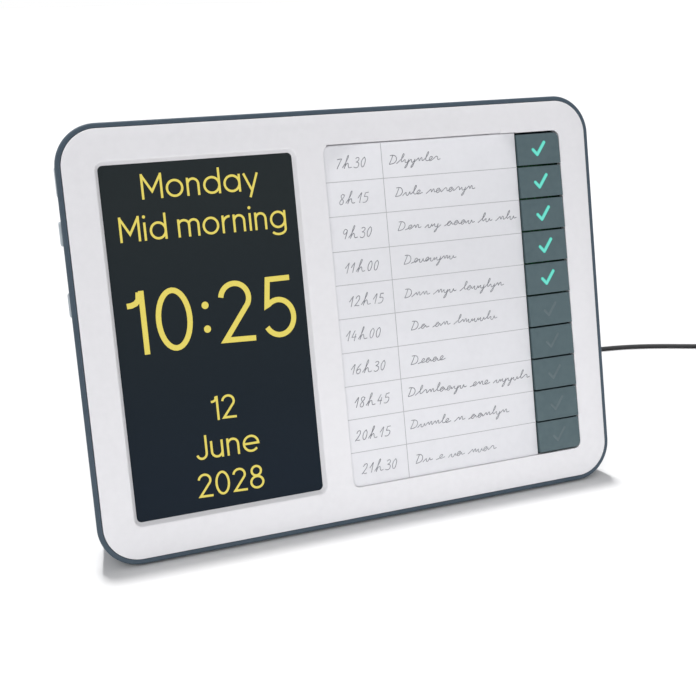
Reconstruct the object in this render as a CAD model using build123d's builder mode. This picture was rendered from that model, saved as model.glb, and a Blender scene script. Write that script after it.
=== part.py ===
# Day clock with a check-off planner: a tablet-shaped housing that leans back on a fold-out leg,
# with an upright colour display on the left, a daily planner card in the middle and ten check
# buttons with a lit tick down the right-hand side.
#
# Frame: millimetres, +X to the right, the face looks along -Y and leans back, +Z up.
# Origin: middle of the resting footprint, on the surface that the clock stands on.
#
# Most pieces are placed on the tilted face plane. There u runs to the right, v up the face and
# "depth" is the distance behind the front surface of the bezel.

import os
from math import atan2, cos, degrees, hypot, pi, radians, sin, tan

from build123d import *

os.makedirs("parts", exist_ok=True)

# ---------------------------------------------------------------- driving dimensions

TILT = 13.7                   # lean of the face from the vertical, degrees
FACE_Y = -17.6                # middle of the face plane
FACE_Z = 93.77
FIT = 0.1                     # moulded seat clearance
WALL_LAP = 0.6                # what stands on a wall reaches this far into it
CUT_LAP = 0.5                 # a cut starts or ends this far outside a wall

# white bezel plate
BEZEL_W = 254.0
BEZEL_H = 185.4
BEZEL_R = 16.0
BEZEL_T = 3.2
BAND_W = 5.0                  # soft falling band round its edge
BAND_DROP = 0.9

# slate rear housing
LIP = 2.4                     # rim that shows round the bezel
LIP_FRONT = 0.9
LIP_BACK = 2.4
BODY_DEPTH = 26.0
BACK_WALL = 2.2
BACK_EDGE = 2.2               # bevel round the back
FRONT_EDGE = 0.6              # bevel round the rim

# seven inch display, upright
WINDOW_U = -68.8
WINDOW_V = 0.4
WINDOW_W = 86.5
WINDOW_H = 153.0
WINDOW_R = 1.8
WINDOW_SLOPE = 1.7            # width of the bevelled window wall
PANEL_W = 95.0
PANEL_H = 160.0
PANEL_FRONT = 2.4
PANEL_T = 1.8
BACKLIGHT_T = 4.2

# planner pocket and check buttons share one rounded opening
FIELD_LEFT = -10.5
FIELD_RIGHT = 112.4
FIELD_TOP = 78.7
FIELD_BOTTOM = -78.5
FIELD_R = 3.3
POCKET_DEPTH = 1.6
CARD_T = 0.7
CARD_RIGHT = 88.3

KEY_COUNT = 10
KEY_PITCH = 15.6
KEY_GAP = 0.9
KEY_LEFT = 88.9
KEY_RIGHT = 111.9
KEY_PROUD = 0.9               # lower edge of a cap stands this far out of the bezel
KEY_SKIRT = 3.3               # depth of the retaining flange
KEY_FLANGE_T = 0.8
KEY_FLANGE_W = 1.2
KEY_WALL = 1.2
KEY_TRAVEL = 1.0
KEY_STEM_U = 108.0
TICK_U = 101.0
TICK_STROKE = 1.3

KEY_BOARD_DEPTH = 11.0
BOARD_T = 1.6
BOARD_BACK = KEY_BOARD_DEPTH + BOARD_T

# buttons on the left flank: (middle, length) along v
SIDE_BUTTONS = [(72.0, 12.6), (50.2, 10.4), (19.8, 10.4)]
SIDE_DEPTH = 9.0
SIDE_WIDTH = 5.6
SIDE_TIP = -129.4
SIDE_TRAVEL = 0.8
SIDE_CLEARANCE = 0.25
SIDE_BEVEL = 1.0

# fold-out leg
HINGE_V = 50.0
HINGE_DEPTH = 22.8
LEG_SPREAD = 8.3              # opened leg, degrees from the vertical
LEG_T = 4.8
LEG_INNER = 1.8               # of that, on the housing side of the hinge axis
LEG_TOP_W = 42.8
LEG_FOOT_W = 60.0
KNUCKLE_R = 3.2
PIN_R = 1.5
PIN_RUNNING = 0.05
RECESS_FLOOR = 19.0
RECESS_CLEARANCE = 1.2
PAD_T = 1.5
PAD_INSET = 2.0

# screws through the back into the bezel, three along the top and four along the bottom
SCREW_V = 83.6
SCREW_TOP_U = (-108.0, 0.0, 108.0)
SCREW_BOTTOM_U = (-108.0, -46.0, 46.0, 108.0)

# power inlet
INLET_U = 72.0
INLET_V = -62.0
CORD_D = 2.6

# ---------------------------------------------------------------- planes and axes

LEAN = radians(TILT)
FACE = Plane(
    origin=(0, FACE_Y, FACE_Z),
    x_dir=(1, 0, 0),
    z_dir=(0, -cos(LEAN), sin(LEAN)),
)
INWARD = Axis(FACE.origin, FACE.z_dir * -1)
UPWARD = Axis(FACE.origin, FACE.y_dir)
# side view of the face frame: first coordinate is depth, second is v
SIDE = Plane(origin=FACE.origin, x_dir=FACE.z_dir * -1, z_dir=(1, 0, 0))


def at_depth(depth):
    """Plane parallel to the face, this far behind it, looking out of the front."""
    return FACE.offset(-depth)


def side_at(u):
    """Side-view plane through the column u."""
    return Plane(origin=FACE.from_local_coords(Vector(u, 0, 0)), x_dir=SIDE.x_dir, z_dir=(1, 0, 0))


def plan_at(v):
    """Section across the clock at height v: first coordinate is u, second is depth."""
    return Plane(origin=FACE.from_local_coords(Vector(0, v, 0)), x_dir=(1, 0, 0), z_dir=FACE.y_dir)


def save(builder, name):
    """Label a finished sub-part and write its STEP file."""
    builder.part.label = name
    export_step(builder.part, f"parts/{name}.step")


def small_round(radius, sides=8, mode=Mode.ADD):
    """Small round boss, shank or hole, drawn with a few flats to stay light."""
    RegularPolygon(radius, sides, mode=mode)


def inset_at(depth):
    """How far the leaning flank has come in at this depth."""
    return (depth - LIP_BACK) * tan(LEAN)


OUTER_W = BEZEL_W + 2 * LIP
OUTER_H = BEZEL_H + 2 * LIP
OUTER_R = BEZEL_R + LIP

# ---------------------------------------------------------------- front bezel

FIELD_W = FIELD_RIGHT - FIELD_LEFT
FIELD_H = FIELD_TOP - FIELD_BOTTOM
FIELD_CENTRE = ((FIELD_LEFT + FIELD_RIGHT) / 2, (FIELD_TOP + FIELD_BOTTOM) / 2)
WINDOW_CENTRE = (WINDOW_U, WINDOW_V)
SCREW_SPOTS = [(u, SCREW_V) for u in SCREW_TOP_U] + [(u, -SCREW_V) for u in SCREW_BOTTOM_U]
BOSS_R = 2.6
BOSS_END = 13.0
PILOT_R = 1.4
KEY_POSTS = [(u, v) for u in (84.6, 116.6) for v in (-68.0, 0.0, 68.0)]
MAIN_POSTS = [(u, v) for u in (-10.0, 58.0) for v in (-66.0, 16.0)]
POST_R = 2.2
POST_PILOT_R = 1.1
NOTCH_U = 77.4
NOTCH_W = 6.0
NOTCH_RISE = 0.7
FRAME_GAP = 0.2               # locating frame round the display module
FRAME_WALL = 1.2
FRAME_DEPTH = 3.6
FRAME_CORNER = 8.0


def field_outline(mode=Mode.ADD):
    """Rounded opening shared by the planner card and the check buttons."""
    with Locations(FIELD_CENTRE):
        RectangleRounded(FIELD_W, FIELD_H, FIELD_R, mode=mode)


def key_column(mode=Mode.INTERSECT):
    """The part of the opening that holds the check buttons."""
    with Locations(((CARD_RIGHT + FIELD_RIGHT) / 2, 0)):
        Rectangle(FIELD_RIGHT - CARD_RIGHT, 2 * FIELD_H, mode=mode)


with BuildPart() as front_bezel:
    with BuildSketch(at_depth(BEZEL_T)):
        RectangleRounded(BEZEL_W, BEZEL_H, BEZEL_R)
    extrude(amount=BEZEL_T)
    front = front_bezel.faces().sort_by(INWARD)[0]
    chamfer(front.edges(), length=BAND_W, length2=BAND_DROP, reference=front)
    # recess behind the display window, where the panel lies against the plate
    with BuildSketch(at_depth(BEZEL_T)):
        with Locations(WINDOW_CENTRE):
            Rectangle(PANEL_W + 2 * FIT, PANEL_H + 2 * FIT)
    extrude(amount=BEZEL_T - PANEL_FRONT, mode=Mode.SUBTRACT)
    # window with walls that slope out towards the viewer
    with BuildSketch(at_depth(PANEL_FRONT)):
        with Locations(WINDOW_CENTRE):
            RectangleRounded(WINDOW_W, WINDOW_H, WINDOW_R)
    extrude(
        amount=PANEL_FRONT,
        taper=-degrees(atan2(WINDOW_SLOPE, PANEL_FRONT)),
        mode=Mode.SUBTRACT,
    )
    # shallow pocket for the planner card, with a thumb notch in its upper edge
    with BuildSketch(FACE):
        field_outline()
        with Locations((NOTCH_U, FIELD_TOP)):
            Rectangle(NOTCH_W, 2 * NOTCH_RISE)
    extrude(amount=-POCKET_DEPTH, mode=Mode.SUBTRACT)
    # through opening for the check buttons
    with BuildSketch(at_depth(BEZEL_T)):
        field_outline()
        key_column()
    extrude(amount=BEZEL_T, mode=Mode.SUBTRACT)
    # locating frame round the display module
    with BuildSketch(at_depth(BEZEL_T)):
        with Locations(WINDOW_CENTRE):
            frame_edge = FRAME_GAP + FRAME_WALL
            Rectangle(PANEL_W + 2 * frame_edge, PANEL_H + 2 * frame_edge)
            Rectangle(PANEL_W + 2 * FRAME_GAP, PANEL_H + 2 * FRAME_GAP, mode=Mode.SUBTRACT)
            # the top and bottom stay open between the corners, for the clips
            Rectangle(PANEL_W - 2 * FRAME_CORNER, PANEL_H + 4 * frame_edge, mode=Mode.SUBTRACT)
    extrude(amount=-FRAME_DEPTH)
    # screw bosses for the back, posts for the boards
    with BuildSketch(at_depth(BEZEL_T)):
        with Locations(*SCREW_SPOTS):
            small_round(BOSS_R)
            small_round(PILOT_R, mode=Mode.SUBTRACT)
    extrude(amount=-(BOSS_END - BEZEL_T))
    with BuildSketch(at_depth(BEZEL_T)):
        with Locations(*KEY_POSTS, *MAIN_POSTS):
            small_round(POST_R)
            small_round(POST_PILOT_R, mode=Mode.SUBTRACT)
    extrude(amount=-(KEY_BOARD_DEPTH - BEZEL_T))
save(front_bezel, "front_bezel")

# ---------------------------------------------------------------- rear housing

CAVITY_LEDGE = 1.0
CAVITY_W = BEZEL_W - 2 * CAVITY_LEDGE
CAVITY_H = BEZEL_H - 2 * CAVITY_LEDGE
CAVITY_R = BEZEL_R - CAVITY_LEDGE
CAVITY_BACK = BODY_DEPTH - BACK_WALL
RECESS_TOP = HINGE_V + 6.7
RECESS_SHELL = 1.8
RECESS_FOOT = -88.0
RECESS_RUN_OUT = 8.0          # the recess is open below its walls
HEAD_R = 2.9
HEAD_SIDES = 12
HEAD_DEPTH = 22.4
SCREW_CLEARANCE = 0.3
WELL_WALL = 0.8
SPEAKER_U = 62.0
SPEAKER_V = 48.0
SPEAKER_R = 18.0
SPEAKER_SIDES = 12            # the hidden loudspeaker is turned with this many flats
SPEAKER_RING_GAP = 0.2
SPEAKER_RING_WALL = 1.5
SPEAKER_RING_H = 3.0
GRILLE_R = 15.0
GRILLE_SLOT = 2.0
GRILLE_PITCH = 4.2
GRILLE_SIDE = 3                # slots on each side of the middle one
INLET_R = 4.3
EAR_IN = 21.8
EAR_T = 4.6
EAR_R = KNUCKLE_R - 0.1
EAR_ROOT = RECESS_FLOOR - CUT_LAP
FOOT_PAD_W = 34.0
FOOT_PAD_L = 12.0
FOOT_PAD_U = 92.0
FOOT_PAD_DEPTH = 11.0         # middle of the pad, measured along the flank from the face
FOOT_PROUD = 0.8
FOOT_SUNK = 1.0
FOOT_BEVEL = 2.0
FLANK_CUT_START = -OUTER_W / 2 - 1.0
FLANK_CUT = 9.0


def leg_outline_points(margin, top, foot):
    """Corners of the leg's trapezium, grown by a margin, from v = top down to v = foot."""
    slope = (LEG_FOOT_W - LEG_TOP_W) / 2 / (HINGE_V - RECESS_FOOT)
    top_half = LEG_TOP_W / 2 + margin + slope * (HINGE_V - top)
    foot_half = LEG_TOP_W / 2 + margin + slope * (HINGE_V - foot)
    return [(-top_half, top), (top_half, top), (foot_half, foot), (-foot_half, foot)]


HINGE_ZONE_HALF = EAR_IN + EAR_T + 0.4
HINGE_ZONE_LOW = HINGE_V - 7.0


def recess_shape(margin, top, foot):
    """Leg recess: a trapezium with a wider band at the hinge."""
    with BuildLine() as outline:
        Polyline(*leg_outline_points(RECESS_CLEARANCE + margin, top, foot), close=True)
    make_face(outline.edges())
    with Locations((0, (top + HINGE_ZONE_LOW - margin) / 2)):
        Rectangle(2 * (HINGE_ZONE_HALF + margin), top - HINGE_ZONE_LOW + margin)


with BuildPart() as rear_housing:
    with BuildSketch(at_depth(LIP_FRONT)):
        RectangleRounded(OUTER_W, OUTER_H, OUTER_R)
    extrude(amount=LIP_FRONT - LIP_BACK)
    with BuildSketch(at_depth(LIP_BACK)):
        RectangleRounded(OUTER_W, OUTER_H, OUTER_R)
    extrude(amount=LIP_BACK - BODY_DEPTH, taper=TILT)
    chamfer(rear_housing.faces().sort_by(INWARD)[-1].edges(), BACK_EDGE)
    chamfer(rear_housing.faces().sort_by(INWARD)[0].edges(), FRONT_EDGE)
    # seat for the bezel, then the cavity with walls parallel to the flanks
    with BuildSketch(at_depth(BEZEL_T)):
        RectangleRounded(BEZEL_W + 2 * FIT, BEZEL_H + 2 * FIT, BEZEL_R + FIT)
    extrude(amount=BEZEL_T, mode=Mode.SUBTRACT)
    with BuildSketch(at_depth(BEZEL_T)):
        RectangleRounded(CAVITY_W, CAVITY_H, CAVITY_R)
    extrude(amount=BEZEL_T - CAVITY_BACK, taper=TILT, mode=Mode.SUBTRACT)
    # walled recess that takes the folded leg, open at the foot
    with BuildSketch(at_depth(RECESS_FLOOR - RECESS_SHELL)):
        recess_shape(RECESS_SHELL, RECESS_TOP + RECESS_SHELL, RECESS_FOOT)
    extrude(amount=-(CAVITY_BACK + WALL_LAP - RECESS_FLOOR + RECESS_SHELL))
    with BuildSketch(at_depth(RECESS_FLOOR)):
        recess_shape(0, RECESS_TOP, RECESS_FOOT - RECESS_RUN_OUT)
    extrude(amount=-(BODY_DEPTH - RECESS_FLOOR + CUT_LAP), mode=Mode.SUBTRACT)
    # two ears that hold the hinge pin
    for start in (-EAR_IN - EAR_T, EAR_IN):
        with BuildSketch(side_at(start)):
            with Locations((HINGE_DEPTH, HINGE_V)):
                Circle(EAR_R)
            with Locations(((EAR_ROOT + HINGE_DEPTH) / 2, HINGE_V)):
                Rectangle(HINGE_DEPTH - EAR_ROOT, 2 * EAR_R)
            with Locations((HINGE_DEPTH, HINGE_V)):
                Circle(PIN_R, mode=Mode.SUBTRACT)
        extrude(amount=EAR_T)
    # bosses and counterbored holes for the case screws
    with BuildSketch(at_depth(BOSS_END + FIT)):
        with Locations(*SCREW_SPOTS):
            small_round(BOSS_R + WELL_WALL)
    extrude(amount=-(CAVITY_BACK + WALL_LAP - BOSS_END - FIT))
    with BuildSketch(at_depth(BOSS_END)):
        with Locations(*SCREW_SPOTS):
            small_round(PILOT_R + SCREW_CLEARANCE)
    extrude(amount=-BODY_DEPTH, mode=Mode.SUBTRACT)
    with BuildSketch(at_depth(HEAD_DEPTH)):
        with Locations(*SCREW_SPOTS):
            small_round(HEAD_R + SCREW_CLEARANCE, HEAD_SIDES)
    extrude(amount=-BODY_DEPTH, mode=Mode.SUBTRACT)
    # ring that seats the loudspeaker, and the slots it sounds through
    ring_inside = SPEAKER_R + SPEAKER_RING_GAP
    with BuildSketch(at_depth(CAVITY_BACK - SPEAKER_RING_H)):
        with Locations((SPEAKER_U, SPEAKER_V)):
            RegularPolygon(ring_inside + SPEAKER_RING_WALL, SPEAKER_SIDES)
            RegularPolygon(ring_inside, SPEAKER_SIDES, mode=Mode.SUBTRACT)
    extrude(amount=-(SPEAKER_RING_H + WALL_LAP))
    with BuildSketch(at_depth(CAVITY_BACK - CUT_LAP)):
        for step in range(-GRILLE_SIDE, GRILLE_SIDE + 1):
            across = step * GRILLE_PITCH
            with Locations((SPEAKER_U + across, SPEAKER_V)):
                Rectangle(GRILLE_SLOT, 2 * (GRILLE_R**2 - across**2) ** 0.5)
    extrude(amount=-2 * BACK_WALL, mode=Mode.SUBTRACT)
    # power inlet
    with BuildSketch(at_depth(CAVITY_BACK - CUT_LAP)):
        with Locations((INLET_U, INLET_V)):
            Circle(INLET_R)
    extrude(amount=-2 * BACK_WALL, mode=Mode.SUBTRACT)
    # openings for the flank buttons, square to the flank's own middle line
    for middle, length in SIDE_BUTTONS:
        with BuildSketch(side_at(FLANK_CUT_START)) as hole:
            with Locations((SIDE_DEPTH, middle)):
                Rectangle(SIDE_WIDTH + 2 * SIDE_CLEARANCE, length + 2 * SIDE_CLEARANCE)
            chamfer(hole.vertices(), SIDE_BEVEL)
        extrude(amount=FLANK_CUT, mode=Mode.SUBTRACT)
    # shallow pockets for the two rubber feet in the lower flank
    with BuildSketch(Plane.XY) as foot_pockets:
        flank_y = FACE.from_local_coords(
            Vector(0, -OUTER_H / 2 + inset_at(FOOT_PAD_DEPTH), -FOOT_PAD_DEPTH)
        ).Y
        with Locations((-FOOT_PAD_U, flank_y), (FOOT_PAD_U, flank_y)):
            Rectangle(FOOT_PAD_W, FOOT_PAD_L)
        chamfer(foot_pockets.vertices(), FOOT_BEVEL)
    extrude(amount=FOOT_PROUD + FOOT_SUNK, mode=Mode.SUBTRACT)
save(rear_housing, "rear_housing")

with BuildPart() as rubber_feet:
    with BuildSketch(Plane.XY) as foot_pads:
        with Locations((-FOOT_PAD_U, flank_y), (FOOT_PAD_U, flank_y)):
            Rectangle(FOOT_PAD_W - 2 * FIT, FOOT_PAD_L - 2 * FIT)
        chamfer(foot_pads.vertices(), FOOT_BEVEL)
    extrude(amount=FOOT_PROUD + FOOT_SUNK)
save(rubber_feet, "rubber_feet")

# ---------------------------------------------------------------- display

with BuildPart() as lcd_panel:
    with BuildSketch(at_depth(PANEL_FRONT + PANEL_T)):
        with Locations(WINDOW_CENTRE):
            Rectangle(PANEL_W, PANEL_H)
    extrude(amount=PANEL_T)
save(lcd_panel, "lcd_panel")

BACKLIGHT_FRONT = PANEL_FRONT + PANEL_T
BACKLIGHT_BACK = BACKLIGHT_FRONT + BACKLIGHT_T
PRESSING_MARGIN = 12.0
PRESSING_DEPTH = 0.8
PRESSING_SLOPE = 30.0

with BuildPart() as backlight_frame:
    with BuildSketch(at_depth(BACKLIGHT_BACK)):
        with Locations(WINDOW_CENTRE):
            Rectangle(PANEL_W, PANEL_H)
    extrude(amount=BACKLIGHT_T)
    # pressed stiffening field in the metal back
    with BuildSketch(at_depth(BACKLIGHT_BACK)):
        with Locations(WINDOW_CENTRE):
            Rectangle(PANEL_W - 2 * PRESSING_MARGIN, PANEL_H - 3 * PRESSING_MARGIN)
    extrude(amount=PRESSING_DEPTH, taper=PRESSING_SLOPE, mode=Mode.SUBTRACT)
save(backlight_frame, "backlight_frame")

CLIP_W = 8.0
CLIP_T = 0.8
CLIP_HOOK = 7.0
CLIP_GAP = 0.2
CLIP_DU = 30.0                # clips stand this far to the left and right of the display's middle
CLIP_DV = PANEL_H / 2 + FRAME_GAP + FRAME_WALL + CLIP_GAP

with BuildPart() as lcd_clips:
    # upright leaf on the bezel, bent over behind the display
    for clip_u in (WINDOW_U - CLIP_DU, WINDOW_U + CLIP_DU):
        for outward in (-1, 1):
            clip_v = WINDOW_V + outward * CLIP_DV
            with BuildSketch(side_at(clip_u - CLIP_W / 2)):
                with BuildLine():
                    Polyline(
                        (BEZEL_T, clip_v),
                        (BEZEL_T, clip_v + CLIP_T * outward),
                        (BACKLIGHT_BACK + CLIP_T, clip_v + CLIP_T * outward),
                        (BACKLIGHT_BACK + CLIP_T, clip_v - CLIP_HOOK * outward),
                        (BACKLIGHT_BACK, clip_v - CLIP_HOOK * outward),
                        (BACKLIGHT_BACK, clip_v),
                        close=True,
                    )
                make_face()
            extrude(amount=CLIP_W)
save(lcd_clips, "lcd_clips")

# ---------------------------------------------------------------- planner card

with BuildPart() as planner_card:
    with BuildSketch(at_depth(POCKET_DEPTH)):
        with Locations(FIELD_CENTRE):
            RectangleRounded(FIELD_W - 2 * FIT, FIELD_H - 2 * FIT, FIELD_R)
        with Locations(((FIELD_LEFT + CARD_RIGHT) / 2, 0)):
            Rectangle(CARD_RIGHT - FIELD_LEFT, 2 * FIELD_H, mode=Mode.INTERSECT)
    extrude(amount=CARD_T)
save(planner_card, "planner_card")

# ---------------------------------------------------------------- check buttons

KEY_H = KEY_PITCH - KEY_GAP
KEY_MID_U = (KEY_LEFT + KEY_RIGHT) / 2
KEY_BACK = KEY_SKIRT + KEY_FLANGE_T
KEY_SLOPE = degrees(atan2(KEY_PROUD, KEY_H))
KEY_CROWN = 1.5               # depth of the hollow's roof
KEY_STRIP_W = 1.1             # bevel down the left side of a cap
KEY_STRIP_DROP = 0.6
KEY_LOW_BEVEL = 0.3
KEY_FLANGE_H = KEY_H - 4.0
STEM_TIP = 6.2
STEM_R = 1.7
STEM_ROOT = 0.3
STEM_CLEARANCE = 0.15         # between a pressed stem and its pressed switch
LENS_PLATE_W = 9.6
LENS_PLATE_H = 9.0
LENS_PLATE_T = 1.0
TICK_POINTS = [(-3.3, 0.0), (-0.95, -3.1), (3.4, 3.1)]
TICK_ROOT = 1.2               # the tick reaches this far under the cap's roof
TICK_CUT_START = 1.0
TICK_CUT = KEY_CROWN + 3.0
FIELD_MID_V = (FIELD_TOP + FIELD_BOTTOM) / 2


def key_v(index):
    """Height of the middle of check button number index, counted from the top."""
    return FIELD_MID_V + ((KEY_COUNT - 1) / 2 - index) * KEY_PITCH


def tick_sketch():
    """A tick of two square-ended strokes."""
    for (u1, v1), (u2, v2) in zip(TICK_POINTS, TICK_POINTS[1:]):
        with Locations((TICK_U + (u1 + u2) / 2, (v1 + v2) / 2)):
            Rectangle(
                hypot(u2 - u1, v2 - v1) + TICK_STROKE,
                TICK_STROKE,
                rotation=degrees(atan2(v2 - v1, u2 - u1)),
            )


def key_face(centre_v, lift):
    """Plane of a cap's sloping top, raised by lift along its own normal."""
    origin = FACE.from_local_coords(Vector(0, centre_v, KEY_PROUD / 2))
    slope = radians(KEY_SLOPE)
    normal = FACE.z_dir * cos(slope) + FACE.y_dir * sin(slope)
    return Plane(origin=origin, x_dir=(1, 0, 0), z_dir=normal).offset(lift)


for index in range(KEY_COUNT):
    v = key_v(index)
    with BuildPart() as check_button:
        # wedge-shaped cap, its lower edge proud like a roof shingle
        with BuildSketch(side_at(KEY_LEFT)):
            with BuildLine():
                Polyline(
                    (KEY_BACK, v - KEY_H / 2),
                    (-KEY_PROUD, v - KEY_H / 2),
                    (0, v + KEY_H / 2),
                    (KEY_BACK, v + KEY_H / 2),
                    close=True,
                )
            make_face()
        extrude(amount=KEY_RIGHT - KEY_LEFT)
        upright = check_button.edges().filter_by(INWARD)
        if index == 0:
            fillet(upright.sort_by(UPWARD)[-2:].sort_by(Axis.X)[-1:], FIELD_R)
        if index == KEY_COUNT - 1:
            fillet(upright.sort_by(UPWARD)[:2].sort_by(Axis.X)[-1:], FIELD_R)
        top = check_button.faces().sort_by(INWARD)[0]
        left_edge = top.edges().sort_by(Axis.X)[0]
        chamfer(left_edge, length=KEY_STRIP_W, length2=KEY_STRIP_DROP, reference=top)
        low_edge = check_button.faces().sort_by(INWARD)[0].edges().sort_by(UPWARD)[0]
        chamfer(low_edge, KEY_LOW_BEVEL)
        # hollow below, with a stem over the switch and a flange each side that holds the cap in
        with BuildSketch(at_depth(KEY_BACK)):
            with Locations((KEY_MID_U, v)):
                Rectangle(KEY_RIGHT - KEY_LEFT - 2 * KEY_WALL, KEY_H - 2 * KEY_WALL)
        extrude(amount=KEY_BACK - KEY_CROWN, mode=Mode.SUBTRACT)
        with BuildSketch(at_depth(STEM_TIP)):
            with Locations((KEY_STEM_U, v)):
                small_round(STEM_R)
        extrude(amount=STEM_TIP - KEY_CROWN + STEM_ROOT)
        with BuildSketch(at_depth(KEY_BACK)):
            for u in (KEY_LEFT - KEY_FLANGE_W / 2, KEY_RIGHT + KEY_FLANGE_W / 2):
                with Locations((u, v)):
                    Rectangle(KEY_FLANGE_W, KEY_FLANGE_H)
        extrude(amount=KEY_FLANGE_T)
        with BuildSketch(key_face(v, TICK_CUT_START)):
            tick_sketch()
        extrude(amount=-TICK_CUT, mode=Mode.SUBTRACT)
    save(check_button, f"check_button_{index + 1:02d}")

    with BuildPart() as tick_lens:
        # tick that fills the cap's cut-out, on a plate under the roof of the cap
        with BuildSketch(key_face(v, 0)):
            tick_sketch()
        extrude(amount=-(KEY_CROWN + TICK_ROOT))
        with BuildSketch(at_depth(KEY_CROWN + LENS_PLATE_T)):
            with Locations((TICK_U, v)):
                Rectangle(LENS_PLATE_W, LENS_PLATE_H)
        extrude(amount=LENS_PLATE_T)
    save(tick_lens, f"tick_lens_{index + 1:02d}")

# ---------------------------------------------------------------- key board

KEY_BOARD_W = 37.4
KEY_BOARD_H = 156.0
SWITCH_W = 6.0
SWITCH_TIP = STEM_TIP + KEY_TRAVEL + STEM_CLEARANCE
PLUNGER_L = 0.7               # the plunger stands this far out of the switch
PLUNGER_R = 1.6
LED_W = 3.2
LED_H = 2.8
LED_T = 1.9
LED_DRAFT = 4.0

with BuildPart() as key_board:
    with BuildSketch(at_depth(BOARD_BACK)):
        with Locations((sum(u for u, _ in KEY_POSTS) / len(KEY_POSTS), 0)):
            Rectangle(KEY_BOARD_W, KEY_BOARD_H)
        with Locations(*KEY_POSTS):
            small_round(POST_PILOT_R + FIT, mode=Mode.SUBTRACT)
    extrude(amount=BOARD_T)
save(key_board, "key_board")

KEY_SPOTS = [(KEY_STEM_U, key_v(index)) for index in range(KEY_COUNT)]
LED_SPOTS = [(TICK_U, key_v(index)) for index in range(KEY_COUNT)]

with BuildPart() as key_switches:
    with BuildSketch(at_depth(KEY_BOARD_DEPTH)):
        with Locations(*KEY_SPOTS):
            Rectangle(SWITCH_W, SWITCH_W)
    extrude(amount=KEY_BOARD_DEPTH - SWITCH_TIP - PLUNGER_L)
    with BuildSketch(at_depth(SWITCH_TIP + PLUNGER_L)):
        with Locations(*KEY_SPOTS):
            small_round(PLUNGER_R)
    extrude(amount=PLUNGER_L)
save(key_switches, "key_switches")

with BuildPart() as tick_leds:
    with BuildSketch(at_depth(KEY_BOARD_DEPTH)):
        with Locations(*LED_SPOTS):
            Rectangle(LED_W, LED_H)
    extrude(amount=LED_T, taper=LED_DRAFT)
save(tick_leds, "tick_leds")

# ---------------------------------------------------------------- main board

MAIN_CENTRE = (24.0, -25.0)
MAIN_BOARD_W = 78.0
MAIN_BOARD_H = 92.0

with BuildPart() as main_board:
    with BuildSketch(at_depth(BOARD_BACK)):
        with Locations(MAIN_CENTRE):
            Rectangle(MAIN_BOARD_W, MAIN_BOARD_H)
        with Locations(*MAIN_POSTS):
            small_round(POST_PILOT_R + FIT, mode=Mode.SUBTRACT)
    extrude(amount=BOARD_T)
save(main_board, "main_board")

# processor, memory, two inductors, capacitors and plugs on the back of the board:
# (u, v, width, height, thickness)
CHIPS = [
    (12.0, -34.0, 14.0, 14.0, 1.4),
    (32.0, -34.0, 11.0, 8.0, 1.1),
    (12.0, -8.0, 9.0, 10.0, 1.0),
    (48.0, -52.0, 7.0, 7.0, 2.8),
    (48.0, -40.0, 7.0, 7.0, 2.8),
    (-8.0, -26.0, 5.0, 22.0, 2.4),
    (44.0, 14.0, 12.0, 4.6, 3.0),
]

with BuildPart() as board_components:
    for u, v, width, height, thickness in CHIPS:
        with BuildSketch(at_depth(BOARD_BACK)):
            with Locations((u, v)):
                Rectangle(width, height)
        extrude(amount=-thickness)
save(board_components, "board_components")

CELL_U = 32.0
CELL_V = -8.0
CELL_R = 10.0
CELL_T = 3.2
CELL_SIDES = 24
HOLDER_W = 25.0
HOLDER_H = 22.0
HOLDER_T = 3.6
HOLDER_FLOOR = 1.0
CELL_FRONT = KEY_BOARD_DEPTH - HOLDER_FLOOR

with BuildPart() as cell_holder:
    # tray on the front of the board
    with BuildSketch(at_depth(KEY_BOARD_DEPTH)):
        with Locations((CELL_U, CELL_V)):
            Rectangle(HOLDER_W, HOLDER_H)
    extrude(amount=HOLDER_T)
    with BuildSketch(at_depth(CELL_FRONT)):
        with Locations((CELL_U, CELL_V)):
            small_round(CELL_R + FIT, CELL_SIDES)
    extrude(amount=HOLDER_T, mode=Mode.SUBTRACT)
save(cell_holder, "cell_holder")

with BuildPart() as coin_cell:
    with BuildSketch(at_depth(CELL_FRONT)):
        with Locations((CELL_U, CELL_V)):
            small_round(CELL_R, CELL_SIDES)
    extrude(amount=CELL_T)
save(coin_cell, "coin_cell")

RIBBON_V = -40.0
RIBBON_W = 22.0
RIBBON_T = 0.3
RIBBON_ROOT_U = -40.0         # glued to the display's back up to the bend
RIBBON_BEND_U = -22.0
RIBBON_BOARD_U = -17.0
RIBBON_END_U = -13.0
RIBBON_EASE = 0.2             # the outer side of each bend lies this far back

with BuildPart() as lcd_ribbon:
    # flat lead folded from the display's edge over to the main board
    with BuildSketch(plan_at(RIBBON_V)):
        with BuildLine():
            Polyline(
                (RIBBON_ROOT_U, BACKLIGHT_BACK),
                (RIBBON_BEND_U, BACKLIGHT_BACK),
                (RIBBON_BOARD_U, BOARD_BACK),
                (RIBBON_END_U, BOARD_BACK),
                (RIBBON_END_U, BOARD_BACK + RIBBON_T),
                (RIBBON_BOARD_U - RIBBON_EASE, BOARD_BACK + RIBBON_T),
                (RIBBON_BEND_U - RIBBON_EASE, BACKLIGHT_BACK + RIBBON_T),
                (RIBBON_ROOT_U, BACKLIGHT_BACK + RIBBON_T),
                close=True,
            )
        make_face()
    extrude(amount=RIBBON_W)
save(lcd_ribbon, "lcd_ribbon")

# ---------------------------------------------------------------- loudspeaker

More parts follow.
